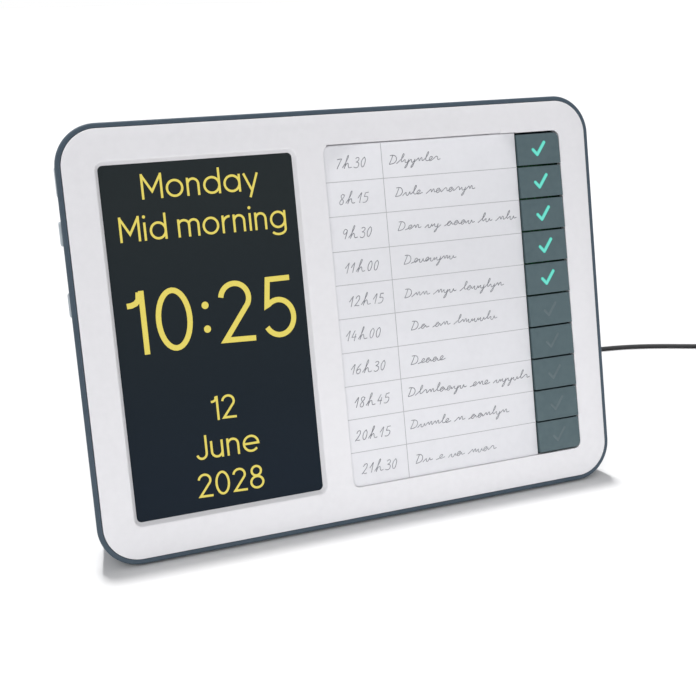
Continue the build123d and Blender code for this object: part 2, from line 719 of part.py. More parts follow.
SPEAKER_GAP = 0.05
SPEAKER_BACK = CAVITY_BACK - SPEAKER_GAP
SPEAKER_RIM_T = 1.0
SPEAKER_RIM_W = 2.4
SPEAKER_LEDGE = SPEAKER_BACK - 0.9  # the surround of the cone is glued down here
BASKET_FLOOR = 17.6
BASKET_T = 0.8
BASKET_SLOPE = 49.4
BASKET_WALL = 1.4
MAGNET_FRONT = 13.2
MAGNET_R = 9.5
CONE_SLOPE = 68.9
CONE_R = SPEAKER_R - 4.6
CONE_WALL = 1.2               # across the slope, measured along the rim's plane
CONE_EDGE_T = 0.5
CONE_DEEP = 3.4
COIL_FORMER_R = 3.8
COIL_CLEARANCE = 0.6


def speaker_round(radius):
    """Outline of a turned piece of the loudspeaker."""
    with Locations((SPEAKER_U, SPEAKER_V)):
        RegularPolygon(radius, SPEAKER_SIDES)


with BuildPart() as speaker_frame:
    # pressed basket: flat rim against the housing, sloping wall, floor with a hole for the coil
    with BuildSketch(at_depth(SPEAKER_BACK)):
        speaker_round(SPEAKER_R)
    extrude(amount=SPEAKER_RIM_T)
    with BuildSketch(at_depth(SPEAKER_BACK - SPEAKER_RIM_T)):
        speaker_round(SPEAKER_R - SPEAKER_RIM_W)
    extrude(amount=SPEAKER_BACK - SPEAKER_RIM_T - BASKET_FLOOR, taper=BASKET_SLOPE)
    with BuildSketch(at_depth(SPEAKER_BACK)):
        speaker_round(SPEAKER_R - SPEAKER_RIM_W)
    extrude(amount=SPEAKER_BACK - SPEAKER_LEDGE, mode=Mode.SUBTRACT)
    with BuildSketch(at_depth(SPEAKER_LEDGE)):
        speaker_round(SPEAKER_R - SPEAKER_RIM_W - BASKET_WALL)
    extrude(
        amount=SPEAKER_LEDGE - BASKET_FLOOR - BASKET_T,
        taper=BASKET_SLOPE,
        mode=Mode.SUBTRACT,
    )
    with BuildSketch(at_depth(BASKET_FLOOR + BASKET_T)):
        speaker_round(COIL_FORMER_R + COIL_CLEARANCE)
    extrude(amount=2 * BASKET_T, mode=Mode.SUBTRACT)
save(speaker_frame, "speaker_frame")

with BuildPart() as speaker_cone:
    # surround that lies on the basket's ledge, sloping cone, and the former of its coil
    with BuildSketch(at_depth(SPEAKER_LEDGE + CONE_EDGE_T)):
        speaker_round(SPEAKER_R - SPEAKER_RIM_W)
    extrude(amount=CONE_EDGE_T)
    with BuildSketch(at_depth(SPEAKER_LEDGE + CONE_EDGE_T)):
        speaker_round(CONE_R)
    extrude(amount=CONE_DEEP, taper=CONE_SLOPE)
    with BuildSketch(at_depth(SPEAKER_LEDGE + CONE_EDGE_T)):
        speaker_round(CONE_R - CONE_WALL)
    extrude(amount=CONE_DEEP - CONE_EDGE_T, taper=CONE_SLOPE, mode=Mode.SUBTRACT)
    with BuildSketch(at_depth(SPEAKER_LEDGE + CONE_EDGE_T - CONE_DEEP)):
        speaker_round(COIL_FORMER_R)
    extrude(amount=SPEAKER_LEDGE + CONE_EDGE_T - CONE_DEEP - BASKET_FLOOR)
save(speaker_cone, "speaker_cone")

with BuildPart() as speaker_magnet:
    with BuildSketch(at_depth(BASKET_FLOOR)):
        speaker_round(MAGNET_R)
    extrude(amount=BASKET_FLOOR - MAGNET_FRONT)
save(speaker_magnet, "speaker_magnet")

# ---------------------------------------------------------------- flank buttons

SIDE_FLANGE_U = -123.2
SIDE_FLANGE_T = 1.0
SIDE_FLANGE_OVER = 1.2        # the flange laps the housing's wall by this much at each end
SIDE_FLANGE_IN = 0.3
SIDE_TIP_BEVEL = 0.4
SIDE_STEM_U = -121.9
SIDE_STEM_R = 1.3
SIDE_STEM_CLEARANCE = 0.1
SIDE_SWITCH_TIP = SIDE_STEM_U + SIDE_TRAVEL + SIDE_STEM_CLEARANCE
SIDE_SWITCH_T = 3.2
SIDE_SWITCH_W = 6.0
SIDE_SWITCH_SHIFT = 0.2
SIDE_PLUNGER_L = 0.8
SIDE_PLUNGER_R = 1.2
SIDE_PLUNGER_ROOT = 0.2
SIDE_BOARD_DEPTH = 11.2
SIDE_BOARD_CENTRE = (-112.0, 45.0)
SIDE_BOARD_W = 18.0
SIDE_BOARD_H = 68.0

for number, (middle, length) in enumerate(SIDE_BUTTONS, start=1):
    with BuildPart() as side_button:
        with BuildSketch(side_at(SIDE_TIP)) as cap:
            with Locations((SIDE_DEPTH, middle)):
                Rectangle(SIDE_WIDTH, length)
            chamfer(cap.vertices(), SIDE_BEVEL)
        extrude(amount=SIDE_FLANGE_U - SIDE_TIP)
        chamfer(side_button.faces().sort_by(Axis.X)[0].edges(), SIDE_TIP_BEVEL)
        with BuildSketch(side_at(SIDE_FLANGE_U)):
            with Locations((SIDE_DEPTH, middle)):
                Rectangle(SIDE_WIDTH - 2 * SIDE_FLANGE_IN, length + 2 * SIDE_FLANGE_OVER)
        extrude(amount=SIDE_FLANGE_T)
        with BuildSketch(side_at(SIDE_FLANGE_U)):
            with Locations((SIDE_DEPTH, middle)):
                small_round(SIDE_STEM_R)
        extrude(amount=SIDE_STEM_U - SIDE_FLANGE_U)
    save(side_button, f"side_button_{number}")

with BuildPart() as side_board:
    with BuildSketch(at_depth(SIDE_BOARD_DEPTH + BOARD_T)):
        with Locations(SIDE_BOARD_CENTRE):
            Rectangle(SIDE_BOARD_W, SIDE_BOARD_H)
    extrude(amount=BOARD_T)
save(side_board, "side_board")

with BuildPart() as side_switches:
    for middle, _ in SIDE_BUTTONS:
        switch_depth = SIDE_DEPTH + SIDE_SWITCH_SHIFT
        with BuildSketch(side_at(SIDE_SWITCH_TIP + SIDE_PLUNGER_L)):
            with Locations((switch_depth, middle)):
                Rectangle(2 * (SIDE_BOARD_DEPTH - switch_depth), SIDE_SWITCH_W)
        extrude(amount=SIDE_SWITCH_T)
        with BuildSketch(side_at(SIDE_SWITCH_TIP)):
            with Locations((SIDE_DEPTH, middle)):
                small_round(SIDE_PLUNGER_R)
        extrude(amount=SIDE_PLUNGER_L + SIDE_PLUNGER_ROOT)
save(side_switches, "side_switches")

# ---------------------------------------------------------------- screws

HEAD_T = 1.7
CROSS_W = 0.8
CROSS_L = 3.2
CROSS_DEPTH = 1.0
SHANK_END = 6.0
BOARD_HEAD_R = 2.1
BOARD_HEAD_T = 1.3
BOARD_SHANK_L = 5.0

with BuildPart() as housing_screws:
    with BuildSketch(at_depth(HEAD_DEPTH)):
        with Locations(*SCREW_SPOTS):
            small_round(HEAD_R, HEAD_SIDES)
    extrude(amount=-HEAD_T)
    with BuildSketch(at_depth(HEAD_DEPTH)):
        with Locations(*SCREW_SPOTS):
            small_round(PILOT_R)
    extrude(amount=HEAD_DEPTH - SHANK_END)
    with BuildSketch(at_depth(HEAD_DEPTH + HEAD_T)):
        with Locations(*SCREW_SPOTS):
            Rectangle(CROSS_L, CROSS_W)
            Rectangle(CROSS_W, CROSS_L)
    extrude(amount=CROSS_DEPTH, mode=Mode.SUBTRACT)
save(housing_screws, "housing_screws")

with BuildPart() as board_screws:
    with BuildSketch(at_depth(BOARD_BACK)):
        with Locations(*KEY_POSTS, *MAIN_POSTS):
            small_round(BOARD_HEAD_R)
    extrude(amount=-BOARD_HEAD_T)
    with BuildSketch(at_depth(BOARD_BACK)):
        with Locations(*KEY_POSTS, *MAIN_POSTS):
            small_round(POST_PILOT_R)
    extrude(amount=BOARD_SHANK_L)
save(board_screws, "board_screws")

# ---------------------------------------------------------------- fold-out leg

SPREAD = radians(LEG_SPREAD)
HINGE = FACE.from_local_coords(Vector(0, HINGE_V, -HINGE_DEPTH))
# leg frame in its opened position: second coordinate runs down the leg from the hinge
LEG = Plane(origin=HINGE, x_dir=(1, 0, 0), z_dir=(0, cos(SPREAD), sin(SPREAD)))
LEG_LENGTH = HINGE.Z / cos(SPREAD)
LEG_HEEL = 5.2                # end above the hinge, which meets the recess floor as a stop
LEG_SLOPE = (LEG_FOOT_W - LEG_TOP_W) / 2 / LEG_LENGTH
LEG_SPARE = 4.0               # cut off again where the foot is levelled
LEG_SOFT_EDGE = 1.2
LEG_KNUCKLE_R = KNUCKLE_R - 0.2
LEG_WEB = 2.0                 # thickness left behind the hollows
LEG_RIM = 2.2
LEG_HALF_RIB = 1.2
HOLLOW_TOP = 12.0
HOLLOW_FOOT = 118.0
SCOOP_L = 24.0
SCOOP_W = 9.0
SCOOP_DEPTH = 1.2
SCOOP_RISE = 12.0
FLOOR_CUT = 120.0


def across_hinge(u):
    """Plane square to the hinge axis, through the column u."""
    return Plane(origin=HINGE + Vector(u, 0, 0), x_dir=(0, 1, 0), z_dir=(1, 0, 0))


def leg_width(down):
    """Width of the leg at this distance below the hinge."""
    return LEG_TOP_W + 2 * LEG_SLOPE * down


with BuildPart() as stand_leg:
    with BuildSketch(LEG.offset(-LEG_INNER)):
        with BuildLine():
            Polyline(
                (-LEG_TOP_W / 2, -LEG_HEEL),
                (LEG_TOP_W / 2, -LEG_HEEL),
                (LEG_TOP_W / 2, 0),
                (leg_width(LEG_LENGTH) / 2, LEG_LENGTH + LEG_SPARE),
                (-leg_width(LEG_LENGTH) / 2, LEG_LENGTH + LEG_SPARE),
                (-LEG_TOP_W / 2, 0),
                close=True,
            )
        make_face()
    extrude(amount=LEG_T)
    # soften the long outer edges
    outer_edges = stand_leg.faces().sort_by(Axis(HINGE, LEG.z_dir))[-1].edges().sort_by(Axis.X)
    fillet(outer_edges[:1] + outer_edges[-1:], LEG_SOFT_EDGE)
    # knuckle on the hinge axis
    with BuildSketch(across_hinge(-LEG_TOP_W / 2)):
        Circle(LEG_KNUCKLE_R)
    extrude(amount=LEG_TOP_W)
    with BuildSketch(across_hinge(-EAR_IN)):
        Circle(PIN_R + PIN_RUNNING)
    extrude(amount=2 * EAR_IN, mode=Mode.SUBTRACT)
    # hollow inner side with a rim and a centre rib
    with BuildSketch(LEG.offset(-LEG_INNER)):
        for side in (-1, 1):
            with BuildLine():
                Polyline(
                    (side * LEG_HALF_RIB, HOLLOW_TOP),
                    (side * (leg_width(HOLLOW_TOP) / 2 - LEG_RIM), HOLLOW_TOP),
                    (side * (leg_width(HOLLOW_FOOT) / 2 - LEG_RIM), HOLLOW_FOOT),
                    (side * LEG_HALF_RIB, HOLLOW_FOOT),
                    close=True,
                )
            make_face()
    extrude(amount=LEG_T - LEG_WEB, mode=Mode.SUBTRACT)
    # finger scoop near the foot on the outer side
    with BuildSketch(LEG.offset(LEG_T - LEG_INNER)):
        with Locations((0, LEG_LENGTH - SCOOP_RISE)):
            SlotOverall(SCOOP_L, SCOOP_W)
    extrude(amount=-SCOOP_DEPTH, mode=Mode.SUBTRACT)
    # foot cut level, a pad's thickness above the surface
    with BuildSketch(Plane.XY.offset(PAD_T)):
        with Locations((0, HINGE.Y)):
            Rectangle(FLOOR_CUT, FLOOR_CUT)
    extrude(amount=-2 * LEG_SPARE, mode=Mode.SUBTRACT)
save(stand_leg, "stand_leg")

FOOT_LEVEL_Y = HINGE.Y + (HINGE.Z - PAD_T) * tan(SPREAD)
FOOT_SHIFT = (LEG_T / 2 - LEG_INNER) / cos(SPREAD)
PAD_W = LEG_T - 0.4
PAD_BEVEL = 0.8

with BuildPart() as stand_foot_pad:
    with BuildSketch(Plane.XY) as pad:
        with Locations((0, FOOT_LEVEL_Y + FOOT_SHIFT)):
            Rectangle(LEG_FOOT_W - 2 * PAD_INSET, PAD_W)
        chamfer(pad.vertices(), PAD_BEVEL)
    extrude(amount=PAD_T)
save(stand_foot_pad, "stand_foot_pad")

with BuildPart() as stand_hinge_pin:
    with BuildSketch(across_hinge(-EAR_IN - EAR_T)):
        Circle(PIN_R)
    extrude(amount=2 * (EAR_IN + EAR_T))
save(stand_hinge_pin, "stand_hinge_pin")

# ---------------------------------------------------------------- power inlet and plug

PLUG_START = BODY_DEPTH + 0.2
PLUG_BODY_R = 4.4
PLUG_BODY_L = 17.0
PLUG_FLATS = 7.6
PLUG_SIDES = 16
CONTACT_R = 1.0
BARREL_L = 8.5
PLUG_BEVEL = 0.7
RELIEF_L = 21.0
RELIEF_R = 2.9
RELIEF_SIDES = 12
RELIEF_NARROWING = 1.3
BARREL_R = 2.75
INLET_FRONT = 12.0
INLET_BACK = CAVITY_BACK - FIT
SOCKET_W = 9.0
SOCKET_H = 11.0
COLLAR_L = 2.1
COLLAR_GAP = 0.2
SOCKET_BORE = 7.0             # the barrel's hole goes this far in from the housing's back wall
BARREL_FIT = 0.05
RELIEF_STRAIGHT = 1.0
CORD_START = PLUG_START + PLUG_BODY_L + RELIEF_L

with BuildPart() as dc_socket:
    # block on the housing's back wall, with a collar in its opening and a hole round a pin
    with BuildSketch(at_depth(INLET_BACK)):
        with Locations((INLET_U, INLET_V)):
            Rectangle(SOCKET_W, SOCKET_H)
    extrude(amount=INLET_BACK - INLET_FRONT)
    with BuildSketch(at_depth(INLET_BACK)):
        with Locations((INLET_U, INLET_V)):
            small_round(INLET_R - COLLAR_GAP, PLUG_SIDES)
    extrude(amount=-COLLAR_L)
    with BuildSketch(at_depth(CAVITY_BACK - SOCKET_BORE)):
        with Locations((INLET_U, INLET_V)):
            small_round(BARREL_R + BARREL_FIT, PLUG_SIDES)
            small_round(CONTACT_R, mode=Mode.SUBTRACT)
    extrude(amount=-BODY_DEPTH, mode=Mode.SUBTRACT)
save(dc_socket, "dc_socket")

with BuildPart() as dc_plug:
    # moulded grip with two flats, and the metal barrel that enters the socket
    with BuildSketch(at_depth(PLUG_START)):
        with Locations((INLET_U, INLET_V)):
            small_round(PLUG_BODY_R, PLUG_SIDES)
    extrude(amount=-PLUG_BODY_L)
    chamfer(dc_plug.faces().sort_by(INWARD)[-1].edges(), PLUG_BEVEL)
    with BuildSketch(at_depth(PLUG_START)):
        with Locations((INLET_U, INLET_V)):
            Rectangle(PLUG_FLATS, 2 * PLUG_BODY_R)
    extrude(amount=-PLUG_BODY_L, mode=Mode.INTERSECT)
    with BuildSketch(at_depth(PLUG_START)):
        with Locations((INLET_U, INLET_V)):
            small_round(BARREL_R, PLUG_SIDES)
            small_round(CONTACT_R + BARREL_FIT, mode=Mode.SUBTRACT)
    extrude(amount=BARREL_L)
save(dc_plug, "dc_plug")

RELIEF_START = Plane(
    origin=FACE.from_local_coords(Vector(INLET_U, INLET_V, -PLUG_START - PLUG_BODY_L)),
    x_dir=(1, 0, 0),
    z_dir=FACE.z_dir * -1,
)

with BuildPart() as plug_strain_relief:
    with BuildSketch(RELIEF_START):
        small_round(RELIEF_R, RELIEF_SIDES)
    extrude(amount=RELIEF_L)
    tip = plug_strain_relief.faces().sort_by(INWARD)[-1]
    narrowing_l = RELIEF_L - RELIEF_STRAIGHT
    chamfer(tip.edges(), length=RELIEF_NARROWING, length2=narrowing_l, reference=tip)
save(plug_strain_relief, "plug_strain_relief")

# ---------------------------------------------------------------- power cord

CORD_SIDES = 8                # the plain tube has this many flats
CORD_AREA = pi * (CORD_D / 2) ** 2
CORD_TUBE_R = (2 * CORD_AREA / (CORD_SIDES * sin(2 * pi / CORD_SIDES))) ** 0.5
CORD_LIFT = 0.05
CORD_Z = CORD_TUBE_R + CORD_LIFT  # middle of the cord where it lies on the surface
ARC_SHARE = 0.45              # share of its shorter run that a corner's arc may take
CORD_EXIT = FACE.from_local_coords(Vector(INLET_U, INLET_V, -CORD_START))
COIL_CENTRE = (313.0, 79.0)
COIL_R = 15.6
COIL_WIDTH = 10.4
COIL_HEIGHT = 7.2
COIL_SIDES = 32

# points of the stretch from the strain relief to the coil, after the exit
CORD_POINTS = [
    (72.0, 41.5, 15.5),
    (73.5, 54.0, 9.6),
    (78.0, 67.5, 4.4),
    (88.0, 82.0, CORD_Z),
    (103.0, 96.5, CORD_Z),
    (125.0, 110.0, CORD_Z),
    (154.0, 119.5, CORD_Z),
    (186.0, 126.0, CORD_Z),
    (216.0, 126.5, CORD_Z),
    (244.0, 124.5, CORD_Z),
    (268.0, 118.0, CORD_Z),
    (294.0, 106.0, CORD_Z),
    (310.0, 96.0, CORD_Z),
    (320.5, 91.5, CORD_Z),
]
# points of the short tail from the coil to the far plug
TAIL_POINTS = [
    (328.6, 82.0, CORD_Z),
    (328.2, 70.5, CORD_Z),
    (322.0, 60.0, 2.0),
    (312.0, 54.0, 3.75),
    (302.0, 54.0, 3.75),
]


def corner_radii(points):
    """Largest arc that each corner's two runs allow, and the turn there in degrees."""
    radii = []
    for before, corner, after in zip(points, points[1:], points[2:]):
        run_in = Vector(*corner) - Vector(*before)
        run_out = Vector(*after) - Vector(*corner)
        turn = run_in.get_angle(run_out)
        shorter = min(run_in.length, run_out.length)
        radii.append(ARC_SHARE * shorter / tan(radians(turn) / 2))
    return radii


def cord_tube(points):
    """Round cord along straight runs that are joined by tangent arcs."""
    radii = corner_radii(points)
    with BuildLine() as path:
        FilletPolyline(*points, radius=radii)
    spine = path.wires()[0]
    with BuildSketch(Plane(origin=spine @ 0, z_dir=spine % 0)) as section:
        RegularPolygon(CORD_TUBE_R, CORD_SIDES)
    sweep(sections=section.sketch, path=spine)
    return radii, spine.length


route = [(CORD_EXIT.X, CORD_EXIT.Y, CORD_EXIT.Z)] + CORD_POINTS

with BuildPart() as power_cord:
    route_radii, route_length = cord_tube(route)
save(power_cord, "power_cord")

with BuildPart() as cord_tail:
    tail_radii, tail_length = cord_tube(TAIL_POINTS)
save(cord_tail, "cord_tail")

with BuildPart() as cord_coil:
    with BuildSketch(Plane.XY):
        with Locations(COIL_CENTRE):
            RegularPolygon(COIL_R + COIL_WIDTH / 2, COIL_SIDES)
            RegularPolygon(COIL_R - COIL_WIDTH / 2, COIL_SIDES, mode=Mode.SUBTRACT)
    extrude(amount=COIL_HEIGHT)
save(cord_coil, "cord_coil")

# ---------------------------------------------------------------- far plug

FAR_X = TAIL_POINTS[-1][0]
FAR_Y = TAIL_POINTS[-1][1]
FAR_Z = TAIL_POINTS[-1][2]
FAR_BODY_L = 20.0
FAR_BODY_W = 13.4
FAR_BODY_H = 7.4
FAR_SHELL_L = 12.0
FAR_SHELL_W = 12.0
FAR_SHELL_H = 4.5
FAR_SHELL_T = 0.3
FAR_NECK_L = 6.0
FAR_NARROWING = 1.4
FAR_BEVEL = 1.2
FAR_STEP = 1.5
FAR_COLLAR_L = 0.5
TONGUE_SHARE = 0.54           # of the shell's inner height


def far_plane(distance):
    """Plane across the far plug, this far beyond the end of the cord."""
    return Plane(origin=(FAR_X - distance, FAR_Y, FAR_Z), x_dir=(0, -1, 0), z_dir=(-1, 0, 0))


with BuildPart() as usb_plug_body:
    # grip with bevelled long edges, and a neck that narrows to the cord
    with BuildSketch(far_plane(FAR_NECK_L)) as grip:
        Rectangle(FAR_BODY_W, FAR_BODY_H)
        chamfer(grip.vertices(), FAR_BEVEL)
    extrude(amount=FAR_BODY_L)
    towards_cord = Plane(origin=far_plane(FAR_NECK_L).origin, x_dir=(0, 1, 0), z_dir=(1, 0, 0))
    with BuildSketch(towards_cord) as neck:
        Rectangle(FAR_BODY_W - 2 * FAR_STEP, FAR_BODY_H - FAR_STEP)
        chamfer(neck.vertices(), FAR_BEVEL)
    extrude(amount=FAR_NECK_L)
    cord_end = usb_plug_body.faces().sort_by(Axis.X)[-1]
    narrowing_l = FAR_NECK_L - FAR_COLLAR_L
    chamfer(cord_end.edges(), length=FAR_NARROWING, length2=narrowing_l, reference=cord_end)
save(usb_plug_body, "usb_plug_body")

with BuildPart() as usb_plug_shell:
    # metal tube, with the tongue that carries its contacts
    inner_w = FAR_SHELL_W - 2 * FAR_SHELL_T
    inner_h = FAR_SHELL_H - 2 * FAR_SHELL_T
    with BuildSketch(far_plane(FAR_NECK_L + FAR_BODY_L)):
        Rectangle(FAR_SHELL_W, FAR_SHELL_H)
        Rectangle(inner_w, inner_h, mode=Mode.SUBTRACT)
    extrude(amount=FAR_SHELL_L)
    tongue_h = TONGUE_SHARE * inner_h
    with BuildSketch(far_plane(FAR_NECK_L + FAR_BODY_L)):
        with Locations((0, (tongue_h - inner_h) / 2)):
            Rectangle(inner_w, tongue_h)
    extrude(amount=FAR_SHELL_L - 2 * FAR_SHELL_T)
save(usb_plug_shell, "usb_plug_shell")

# ---------------------------------------------------------------- printed facts

for label, solid, length, radii in (
    ("power_cord", power_cord, route_length, route_radii),
    ("cord_tail", cord_tail, tail_length, tail_radii),
):
    print(label, "length", round(length, 1), "volume/section", round(solid.part.volume / CORD_AREA, 1))
    print("  radii", [round(radius, 1) for radius in radii])
print("hinge", HINGE, "leg", round(LEG_LENGTH, 2), "foot y", round(FOOT_LEVEL_Y + FOOT_SHIFT, 2))
print("cord exit", CORD_EXIT)
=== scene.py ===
# The looks of a day clock with a check-off planner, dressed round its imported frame.
#
# Pieces are modelled in millimetres on a bench and are then seated on the clock. On the bench of
# the face the first coordinate runs to the right, the second up the face and the third out of it.

import random
from contextlib import contextmanager
from math import atan2, cos, hypot, pi, radians, sin, tan

import bmesh
import bpy
from mathutils import Matrix, Vector


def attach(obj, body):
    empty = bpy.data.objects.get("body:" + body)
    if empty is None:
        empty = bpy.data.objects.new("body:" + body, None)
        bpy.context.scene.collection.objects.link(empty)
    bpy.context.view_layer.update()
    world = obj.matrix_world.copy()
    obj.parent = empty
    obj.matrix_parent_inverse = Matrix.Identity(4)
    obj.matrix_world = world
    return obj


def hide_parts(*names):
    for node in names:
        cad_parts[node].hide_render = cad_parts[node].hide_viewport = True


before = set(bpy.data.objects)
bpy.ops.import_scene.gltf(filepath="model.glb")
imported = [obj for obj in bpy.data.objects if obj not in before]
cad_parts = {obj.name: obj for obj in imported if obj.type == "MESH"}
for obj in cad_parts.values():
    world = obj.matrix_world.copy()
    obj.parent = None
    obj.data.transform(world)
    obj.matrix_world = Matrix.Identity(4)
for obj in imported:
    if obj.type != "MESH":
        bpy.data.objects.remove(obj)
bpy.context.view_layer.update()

# ---------------------------------------------------------------- driving sizes, in millimetres

MM = 0.001
LEAN = radians(13.7)
FACE_MIDDLE = Vector((0.0, -17.6, 93.77))

BEZEL_W = 254.0
BEZEL_H = 185.4
BEZEL_R = 16.0
BEZEL_T = 3.2
BAND_W = 6.5
BAND_DROP = 0.68

LIP = 2.4
LIP_FRONT = 0.9
LIP_BACK = 2.4
BODY_DEPTH = 26.0
BACK_WALL = 2.2
SEAT_FIT = 0.1
LEDGE = 1.0

WINDOW = (-68.8, 0.4)
OPENING = (-68.4, 0.1)        # middle of the window's opening in front of the panel
WINDOW_SIZE = (86.8, 154.1)
WINDOW_R = 2.2
WINDOW_SLOPE = 1.6
PANEL = (95.0, 160.0)
PANEL_FRONT = 2.4

FIELD_LEFT = -10.5
FIELD_RIGHT = 112.4
FIELD_TOP = 78.7
FIELD_BOTTOM = -78.5
FIELD_R = 3.3
POCKET_DEPTH = 1.6
CARD_T = 0.7
CARD_RIGHT = 88.3
CARD_FACE = CARD_T - POCKET_DEPTH
NOTCH_U = 77.4
NOTCH_W = 6.0
NOTCH_RISE = 0.7

KEY_COUNT = 10
KEY_LIT = 5
KEY_PITCH = 15.6
KEY_GAP = 0.9
KEY_LEFT = 88.9
KEY_RIGHT = 111.9
KEY_PROUD = 0.9
KEY_BACK = 4.1
KEY_FLANGE_T = 0.8
KEY_FLANGE_W = 1.2
KEY_WALL = 1.2
KEY_CROWN = 1.5
KEY_STEM_U = 108.0
KEY_STEM_R = 1.7
STEM_TIP = 6.2
TICK_U = 101.0
TICK_STROKE = 1.6
TICK_POINTS = [(-3.7, -0.2), (-1.6, -2.65), (2.75, 3.0)]

SIDE_BUTTONS = [(72.0, 12.6), (50.2, 10.4), (19.8, 10.4)]
SIDE_DEPTH = 9.0
SIDE_WIDTH = 5.6

HINGE_V = 50.0
HINGE_DEPTH = 22.8
LEG_SPREAD = radians(8.3)
LEG_T = 4.8
LEG_INNER = 1.8
LEG_TOP_W = 42.8
LEG_FOOT_W = 60.0
LEG_HEEL = 5.2
KNUCKLE_R = 3.2
PIN_R = 1.5
RECESS_FLOOR = 19.0
RECESS_SHELL = 1.8
RECESS_CLEARANCE = 1.2
RECESS_FOOT = -88.0
EAR_IN = 21.8
EAR_T = 4.6
PAD_T = 1.5

SCREW_V = 83.6
SCREW_SPOTS = [(u, SCREW_V) for u in (-108, 0, 108)]
SCREW_SPOTS += [(u, -SCREW_V) for u in (-108, -46, 46, 108)]
BOSS_R = 2.6
BOSS_END = 13.0
PILOT_R = 1.4
HEAD_R = 2.9
HEAD_T = 1.7
HEAD_DEPTH = 22.4
SHANK_END = 6.0
POSTS = [(u, v) for u in (84.6, 116.6) for v in (-68.0, 0.0, 68.0)]
POSTS += [(u, v) for u in (-10.0, 58.0) for v in (-66.0, 16.0)]
POST_R = 2.2
POST_PILOT_R = 1.1
POST_END = 11.0

SPEAKER = (62.0, 48.0)
SPEAKER_R = 18.0
GRILLE_R = 15.0
GRILLE_SLOT = 2.0
GRILLE_PITCH = 4.2
INLET = (72.0, -62.0)
INLET_R = 4.3
FOOT_PAD = (34.0, 12.0)
FOOT_PAD_U = 92.0
FOOT_PAD_DEPTH = 11.0

PLUG_START = BODY_DEPTH + 0.2
PLUG_R = 4.4
PLUG_L = 17.0
PLUG_FLATS = 7.6
RELIEF_L = 21.0
RELIEF_R = 2.9
CORD_D = 2.6

OUTER_W = BEZEL_W + 2 * LIP
OUTER_H = BEZEL_H + 2 * LIP
OUTER_R = BEZEL_R + LIP
CAVITY_BACK = BODY_DEPTH - BACK_WALL
FIELD_MIDDLE = ((FIELD_LEFT + FIELD_RIGHT) / 2, (FIELD_TOP + FIELD_BOTTOM) / 2)
FIELD_SIZE = (FIELD_RIGHT - FIELD_LEFT, FIELD_TOP - FIELD_BOTTOM)
KEY_H = KEY_PITCH - KEY_GAP
SOFT = radians(35)            # edges sharper than this get rounded
SMOOTH = radians(40)          # faces that meet at less than this are shaded as one
PAST = 1.0                    # cutters run on this far past what they cut
SAME_POINT = 0.002            # points that a cut leaves nearer than this are merged

# ---------------------------------------------------------------- benches

TO_METRES = Matrix.Scale(MM, 4)
FACE = TO_METRES @ Matrix.Translation(FACE_MIDDLE) @ Matrix.Rotation(pi / 2 - LEAN, 4, "X")
HINGE = FACE @ Vector((0, HINGE_V, -HINGE_DEPTH))
LEG_LENGTH = HINGE.z / MM / cos(LEG_SPREAD)


def bench(origin, right, out):
    """Bench whose first coordinate runs along right and whose third runs along out."""
    right = Vector(right)
    out = Vector(out)
    turn = Matrix((right, out.cross(right), out)).transposed().to_4x4()
    return Matrix.Translation(origin) @ turn @ TO_METRES


BACKWARD = FACE.to_3x3().normalized() @ Vector((0, 0, -1))
LEG = bench(HINGE, (1, 0, 0), (0, cos(LEG_SPREAD), sin(LEG_SPREAD)))
PLUG = bench(FACE @ Vector((*INLET, -PLUG_START)), (1, 0, 0), BACKWARD)
# from a drawing seen from the side (depth, height, across) to the bench of the face
SIDE_TO_BENCH = Matrix(((0, 0, 1, 0), (0, 1, 0, 0), (-1, 0, 0, 0), (0, 0, 0, 1)))
SIDEWAYS = FACE @ SIDE_TO_BENCH

# ---------------------------------------------------------------- tools of the bench


def only(*pieces):
    """Select these pieces alone; the first is the active one."""
    bpy.ops.object.select_all(action="DESELECT")
    for piece in pieces:
        piece.select_set(True)
    bpy.context.view_layer.objects.active = pieces[0]


def settle(piece):
    """Put the piece's own place, turn and size into its mesh."""
    only(piece)
    bpy.ops.object.transform_apply(location=True, rotation=True, scale=True)
    return piece


def moved(piece, place):
    """Put a piece's mesh in a place, given as a matrix."""
    piece.data.transform(place)
    return piece


def lifted(piece, height):
    return moved(piece, Matrix.Translation((0, 0, height)))


def primitive(add_shape, **values):
    """New primitive, which alone is selected."""
    bpy.ops.object.select_all(action="DESELECT")
    add_shape(**values)
    return settle(bpy.context.object)


def adjust(thing, **values):
    """Write values on a modifier, a node, a curve, a camera or a light."""
    for key, value in values.items():
        setattr(thing, key, value)
    return thing


def new_object(name, data):
    """Object of this data in the scene."""
    made = bpy.data.objects.new(name, data)
    bpy.context.collection.objects.link(made)
    return made


def pick(piece, kind, test):
    """In edit mode, select the faces, edges or points that pass a test."""
    bpy.ops.mesh.select_mode(type=kind)
    bpy.ops.mesh.select_all(action="DESELECT")
    shape = bmesh.from_edit_mesh(piece.data)
    shape.normal_update()
    parts = {"FACE": shape.faces, "EDGE": shape.edges, "VERT": shape.verts}[kind]
    for part in parts:
        if test(part):
            part.select_set(True)
    shape.select_flush_mode()
    bmesh.update_edit_mesh(piece.data)


@contextmanager
def editing(piece, kind="VERT", test=None):
    """Edit mode with all of the piece selected, or only the parts that pass a test."""
    only(piece)
    bpy.ops.object.mode_set(mode="EDIT")
    if test:
        pick(piece, kind, test)
    else:
        bpy.ops.mesh.select_all(action="SELECT")
    yield
    bpy.ops.object.mode_set(mode="OBJECT")


def is_upright(edge):
    along = edge.verts[1].co - edge.verts[0].co
    return hypot(along.x, along.y) < 0.001 * abs(along.z)


def facing(z_sign):
    """Test for the flat face on the front (+1) or the back (-1) of a block."""
    return lambda face: face.normal.z * z_sign > 0.999


def grown(size, by):
    """Size of a rectangle whose sides have all moved out by this much."""
    return size[0] + 2 * by, size[1] + 2 * by


